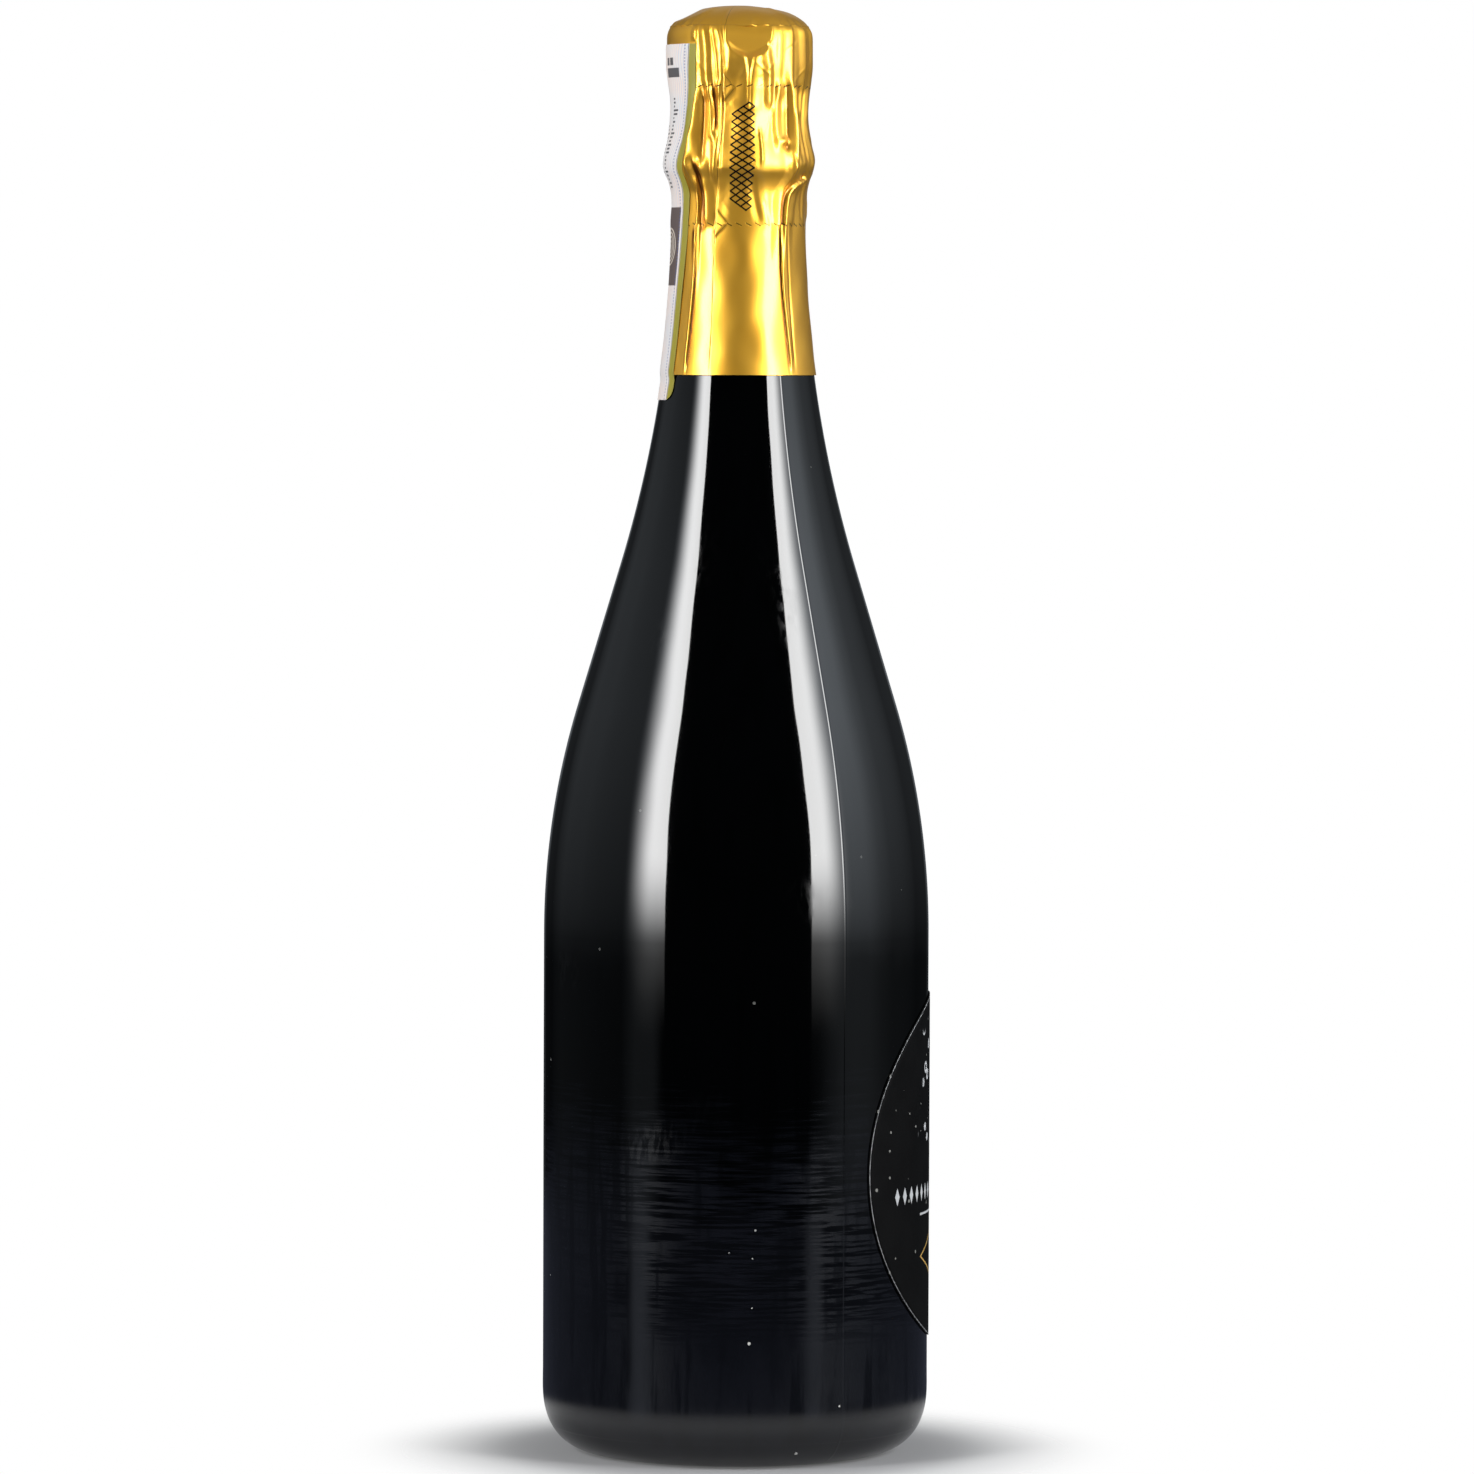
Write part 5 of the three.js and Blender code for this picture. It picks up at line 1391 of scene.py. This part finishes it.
class BOTTLE_OT_cork(bpy.types.Operator):
    """Make the mushroom cork and its two discs"""

    bl_idname = "bottle.cork"
    bl_label = "Cork"

    def execute(self, context):
        settings = context.scene.bottle_closure
        ground = cork_stock("Ground cork", settings, 620.0, (1, 1, 1), 0.7, 0.5)
        natural = cork_stock("Natural cork", settings, 210.0, (1.0, 2.4, 1.0), 0.25, 0.9)
        place("cork_mushroom", [cork_patch(96)], ground, "cork", "ground_cork", "cork_body")
        for name, node, bottom in (
                ("disc_near_wine", "cork_disc_lower", CORK_BOTTOM),
                ("disc_near_body", "cork_disc_upper", CORK_BOTTOM + CORK_DISC)):
            place(name, [cork_disc_patch(bottom, 96)], natural, "cork", "natural_cork", node)
        return {"FINISHED"}


class BOTTLE_OT_cage(bpy.types.Operator):
    """Make the wire cage, its belt and key, and the plaque"""

    bl_idname = "bottle.cage"
    bl_label = "Wire cage"

    def execute(self, context):
        settings = context.scene.bottle_closure
        zinc = zinc_wire(settings)
        wire = settings.wire
        place("cage_wires", cage_patches(wire), zinc, "cage", "wire", "cage_frame")
        place("belt_wire", [level_ring(BELT_RADIUS, BELT_HEIGHT, 128, wire)], zinc, "cage", "wire", "cage_belt")
        place("twist_key", key_patches(wire), zinc, "key", "wire", "cage_key")
        place("cork_plaque", [plaque_patch(96)], plaque_lacquer(settings), "cage", "plaque", "cage_plaque")
        return {"FINISHED"}


def softbox(name, turn, brightness, mirrored):
    """An upright soft box facing the axis: full along its inner side, fading across to the other, and fading in from
    its foot."""
    tall = SOFTBOX_TOP - SOFTBOX_FOOT
    lamp = bpy.data.lights.new(name, "AREA")
    lamp.shape = "RECTANGLE"
    lamp.size, lamp.size_y = SOFTBOX_WIDTH, tall
    lamp.energy = brightness * SOFTBOX_WIDTH * tall * math.pi
    out = outward(turn)
    holder = linked(name, lamp)
    holder.location = SOFTBOX_DISTANCE * out + (SOFTBOX_FOOT + SOFTBOX_TOP) / 2 * UP
    holder.rotation_euler = Vector(-out).to_track_quat("-Z", "Y").to_euler()
    holder.visible_camera = False
    lamp.use_nodes = True
    nodes = Nodes(lamp.node_tree)
    across, up, _ = nodes.parts(nodes.out("ShaderNodeNewGeometry", output="Parametric"))
    fade = nodes.ramp(1.0 - across if mirrored else across, 0.30, 1.0, 1.0, 0.0) ** 2.0
    glow = nodes.out("ShaderNodeEmission", {"Strength": fade * nodes.ramp(up, 0.0, 0.34)})
    nodes.add("ShaderNodeOutputLight", {"Surface": glow})


def studio_walls(view_turn):
    """A round room whose wall's tone goes round with WALL_TONES above the floor's level, over a dim low floor with the
    spill of each soft box along it."""
    made, nodes = material("Studio walls")
    x, y, z = nodes.parts(nodes.position())
    turned = nodes.math("WRAP", nodes.math("ARCTAN2", y, x) - math.radians(view_turn), math.pi, -math.pi)
    tones = nodes.add("ShaderNodeValToRGB", {0: (turned + math.pi) / (2 * math.pi)})
    peak = max(tone for _, tone in WALL_TONES)
    stops = tones.color_ramp.elements
    while len(stops) < len(WALL_TONES):
        stops.new(0.5)
    for stop, (at, tone) in zip(stops, WALL_TONES):
        stop.position = (at + 180) / 360
        stop.color = (tone / peak * 0.84, tone / peak * 0.92, tone / peak, 1.0)
    risen = nodes.math("SQRT", nodes.math("DIVIDE", z + 0.1, 2.2, clamp=True))
    spill = nodes.most(*(
        nodes.near(turned, math.radians(at), math.radians(2), math.radians(reach))
        for at, reach in ((-58, 9), (48, 8))))
    ground = nodes.mix(spill, times((0.045, 0.05, 0.07), 1 / peak), times((0.34, 0.37, 0.44), 1 / peak))
    toned = nodes.layers(
        (0.0004, 0.0005, 0.0007), (risen * 0.82 + 0.08, Value(nodes, tones.outputs[0])),
        (z < ROOM_FOOT + 0.005, ground), (z > ROOM_TOP - 0.01, times((0.22, 0.22, 0.22), 1 / peak)))
    glow = nodes.out("ShaderNodeEmission", {"Color": toned, "Strength": peak})
    nodes.add("ShaderNodeOutputMaterial", {"Surface": glow})
    return made


def floor_paper(colour):
    """White floor: lit by the lamps round the bottle, where it keeps the shadow, with a painted contact shadow that
    greys its colour in a ring close round the bottle's foot, and plain white further out.
    """
    made, nodes = material("Floor paper")
    position = nodes.position()
    x, y, _ = nodes.parts(position)
    out = nodes.length(x, y)
    grain = nodes.mix(nodes.noise(position, 60.0, 2.0), colour, times(colour, 0.98))
    # Painted shadow: the floor's colour is greyed in a ring close round the bottle's foot, a contact shadow painted in
    # on top of the lamps' own shadow.
    foot = nodes.mix(nodes.ramp(out, 0.041, 0.062), (0.36, 0.36, 0.37), grain)
    lit = nodes.out("ShaderNodeBsdfDiffuse", {"Color": foot})
    white = nodes.out("ShaderNodeEmission", {"Color": WHITE, "Strength": 1.0})
    share = nodes.ramp(out, 0.048, 0.092, 0.10, 1.0) * nodes.seen()
    mixed = nodes.out("ShaderNodeMixShader", {0: share, 1: lit, 2: white})
    clear = nodes.out("ShaderNodeBsdfTransparent")
    faded = nodes.out("ShaderNodeMixShader", {0: nodes.ramp(out, 0.050, 0.11), 1: mixed, 2: clear})
    nodes.add("ShaderNodeOutputMaterial", {"Surface": faded})
    return made


class BOTTLE_OT_stage(bpy.types.Operator):
    """Make the floor, the studio walls, the lamps, the world and the camera"""

    bl_idname = "bottle.stage"
    bl_label = "Stage"

    def execute(self, context):
        scene = context.scene
        settings = scene.bottle_stage
        around = list(range(STAGE_SIDES))
        turn = turns(STAGE_SIDES)
        floor = meshed("floor", polar(FLOOR_RADIUS, turn, 0.0), [around], floor_paper(settings.floor_colour))
        foot, top = (polar(ROOM_RADIUS, turn, height) for height in (ROOM_FOOT, ROOM_TOP))
        above = [STAGE_SIDES + i for i in around]
        sides = [[i, STAGE_SIDES + i, STAGE_SIDES + j, j] for i, j in zip(around, around[1:] + around[:1])]
        room = meshed(
            "studio_room", np.concatenate([foot, top]), sides + [around, above], studio_walls(settings.view_turn))
        room.visible_camera = False
        room.visible_shadow = False
        softbox("softbox_left", settings.view_turn - 57.0, settings.softbox, True)
        softbox("softbox_right", settings.view_turn + 59.5, settings.softbox, False)
        scene.world = bpy.data.worlds.new("Studio")
        scene.world.use_nodes = True
        nodes = Nodes(scene.world.node_tree)
        backdrop = nodes.out("ShaderNodeBackground", {"Color": WHITE, "Strength": nodes.seen()})
        nodes.add("ShaderNodeOutputWorld", {"Surface": backdrop})
        camera = bpy.data.cameras.new("camera")
        camera.lens = settings.lens
        camera.sensor_width = 36.0
        holder = linked("camera", camera)
        holder.location = settings.distance * outward(settings.view_turn) + settings.eye_height * UP
        aim = Vector((0, 0, settings.aim_height)) - holder.location
        roll = Quaternion((0, 0, 1), math.radians(settings.roll))
        holder.rotation_euler = (aim.to_track_quat("-Z", "Y") @ roll).to_euler()
        scene.camera = holder
        scene.view_settings.view_transform = "Standard"
        return {"FINISHED"}


class BOTTLE_PT_panel(bpy.types.Panel):
    """Buttons and settings for the bottle's pieces"""

    bl_label = "Sparkling Wine Bottle"
    bl_idname = "BOTTLE_PT_panel"
    bl_space_type = "VIEW_3D"
    bl_region_type = "UI"
    bl_category = "Bottle"

    def draw(self, context):
        for operator, settings in PIECES:
            box = self.layout.box()
            box.operator(operator.bl_idname)
            group = getattr(context.scene, settings)
            for name in group.bl_rna.properties.keys():
                if name not in ("rna_type", "name"):
                    box.prop(group, name)


PIECES = (
    (BOTTLE_OT_glass, "bottle_glass"), (BOTTLE_OT_paper, "bottle_paper"), (BOTTLE_OT_foil, "bottle_foil"),
    (BOTTLE_OT_cork, "bottle_closure"), (BOTTLE_OT_cage, "bottle_closure"), (BOTTLE_OT_stage, "bottle_stage"),
)
SETTINGS = {
    "bottle_glass": GlassSettings, "bottle_paper": PaperSettings, "bottle_foil": FoilSettings,
    "bottle_closure": ClosureSettings, "bottle_stage": StageSettings,
}
CLASSES = (*SETTINGS.values(), *(operator for operator, _ in PIECES), BOTTLE_PT_panel)


def register():
    for each in CLASSES:
        bpy.utils.register_class(each)
    for name, group in SETTINGS.items():
        setattr(bpy.types.Scene, name, PointerProperty(type=group))


def unregister():
    for name in SETTINGS:
        delattr(bpy.types.Scene, name)
    for each in reversed(CLASSES):
        bpy.utils.unregister_class(each)


def main():
    """Makes every piece and the stage."""
    register()
    bpy.ops.bottle.glass()
    bpy.ops.bottle.paper()
    bpy.ops.bottle.foil()
    bpy.ops.bottle.cork()
    bpy.ops.bottle.cage()
    bpy.ops.bottle.stage()


if __name__ == "__main__":
    main()
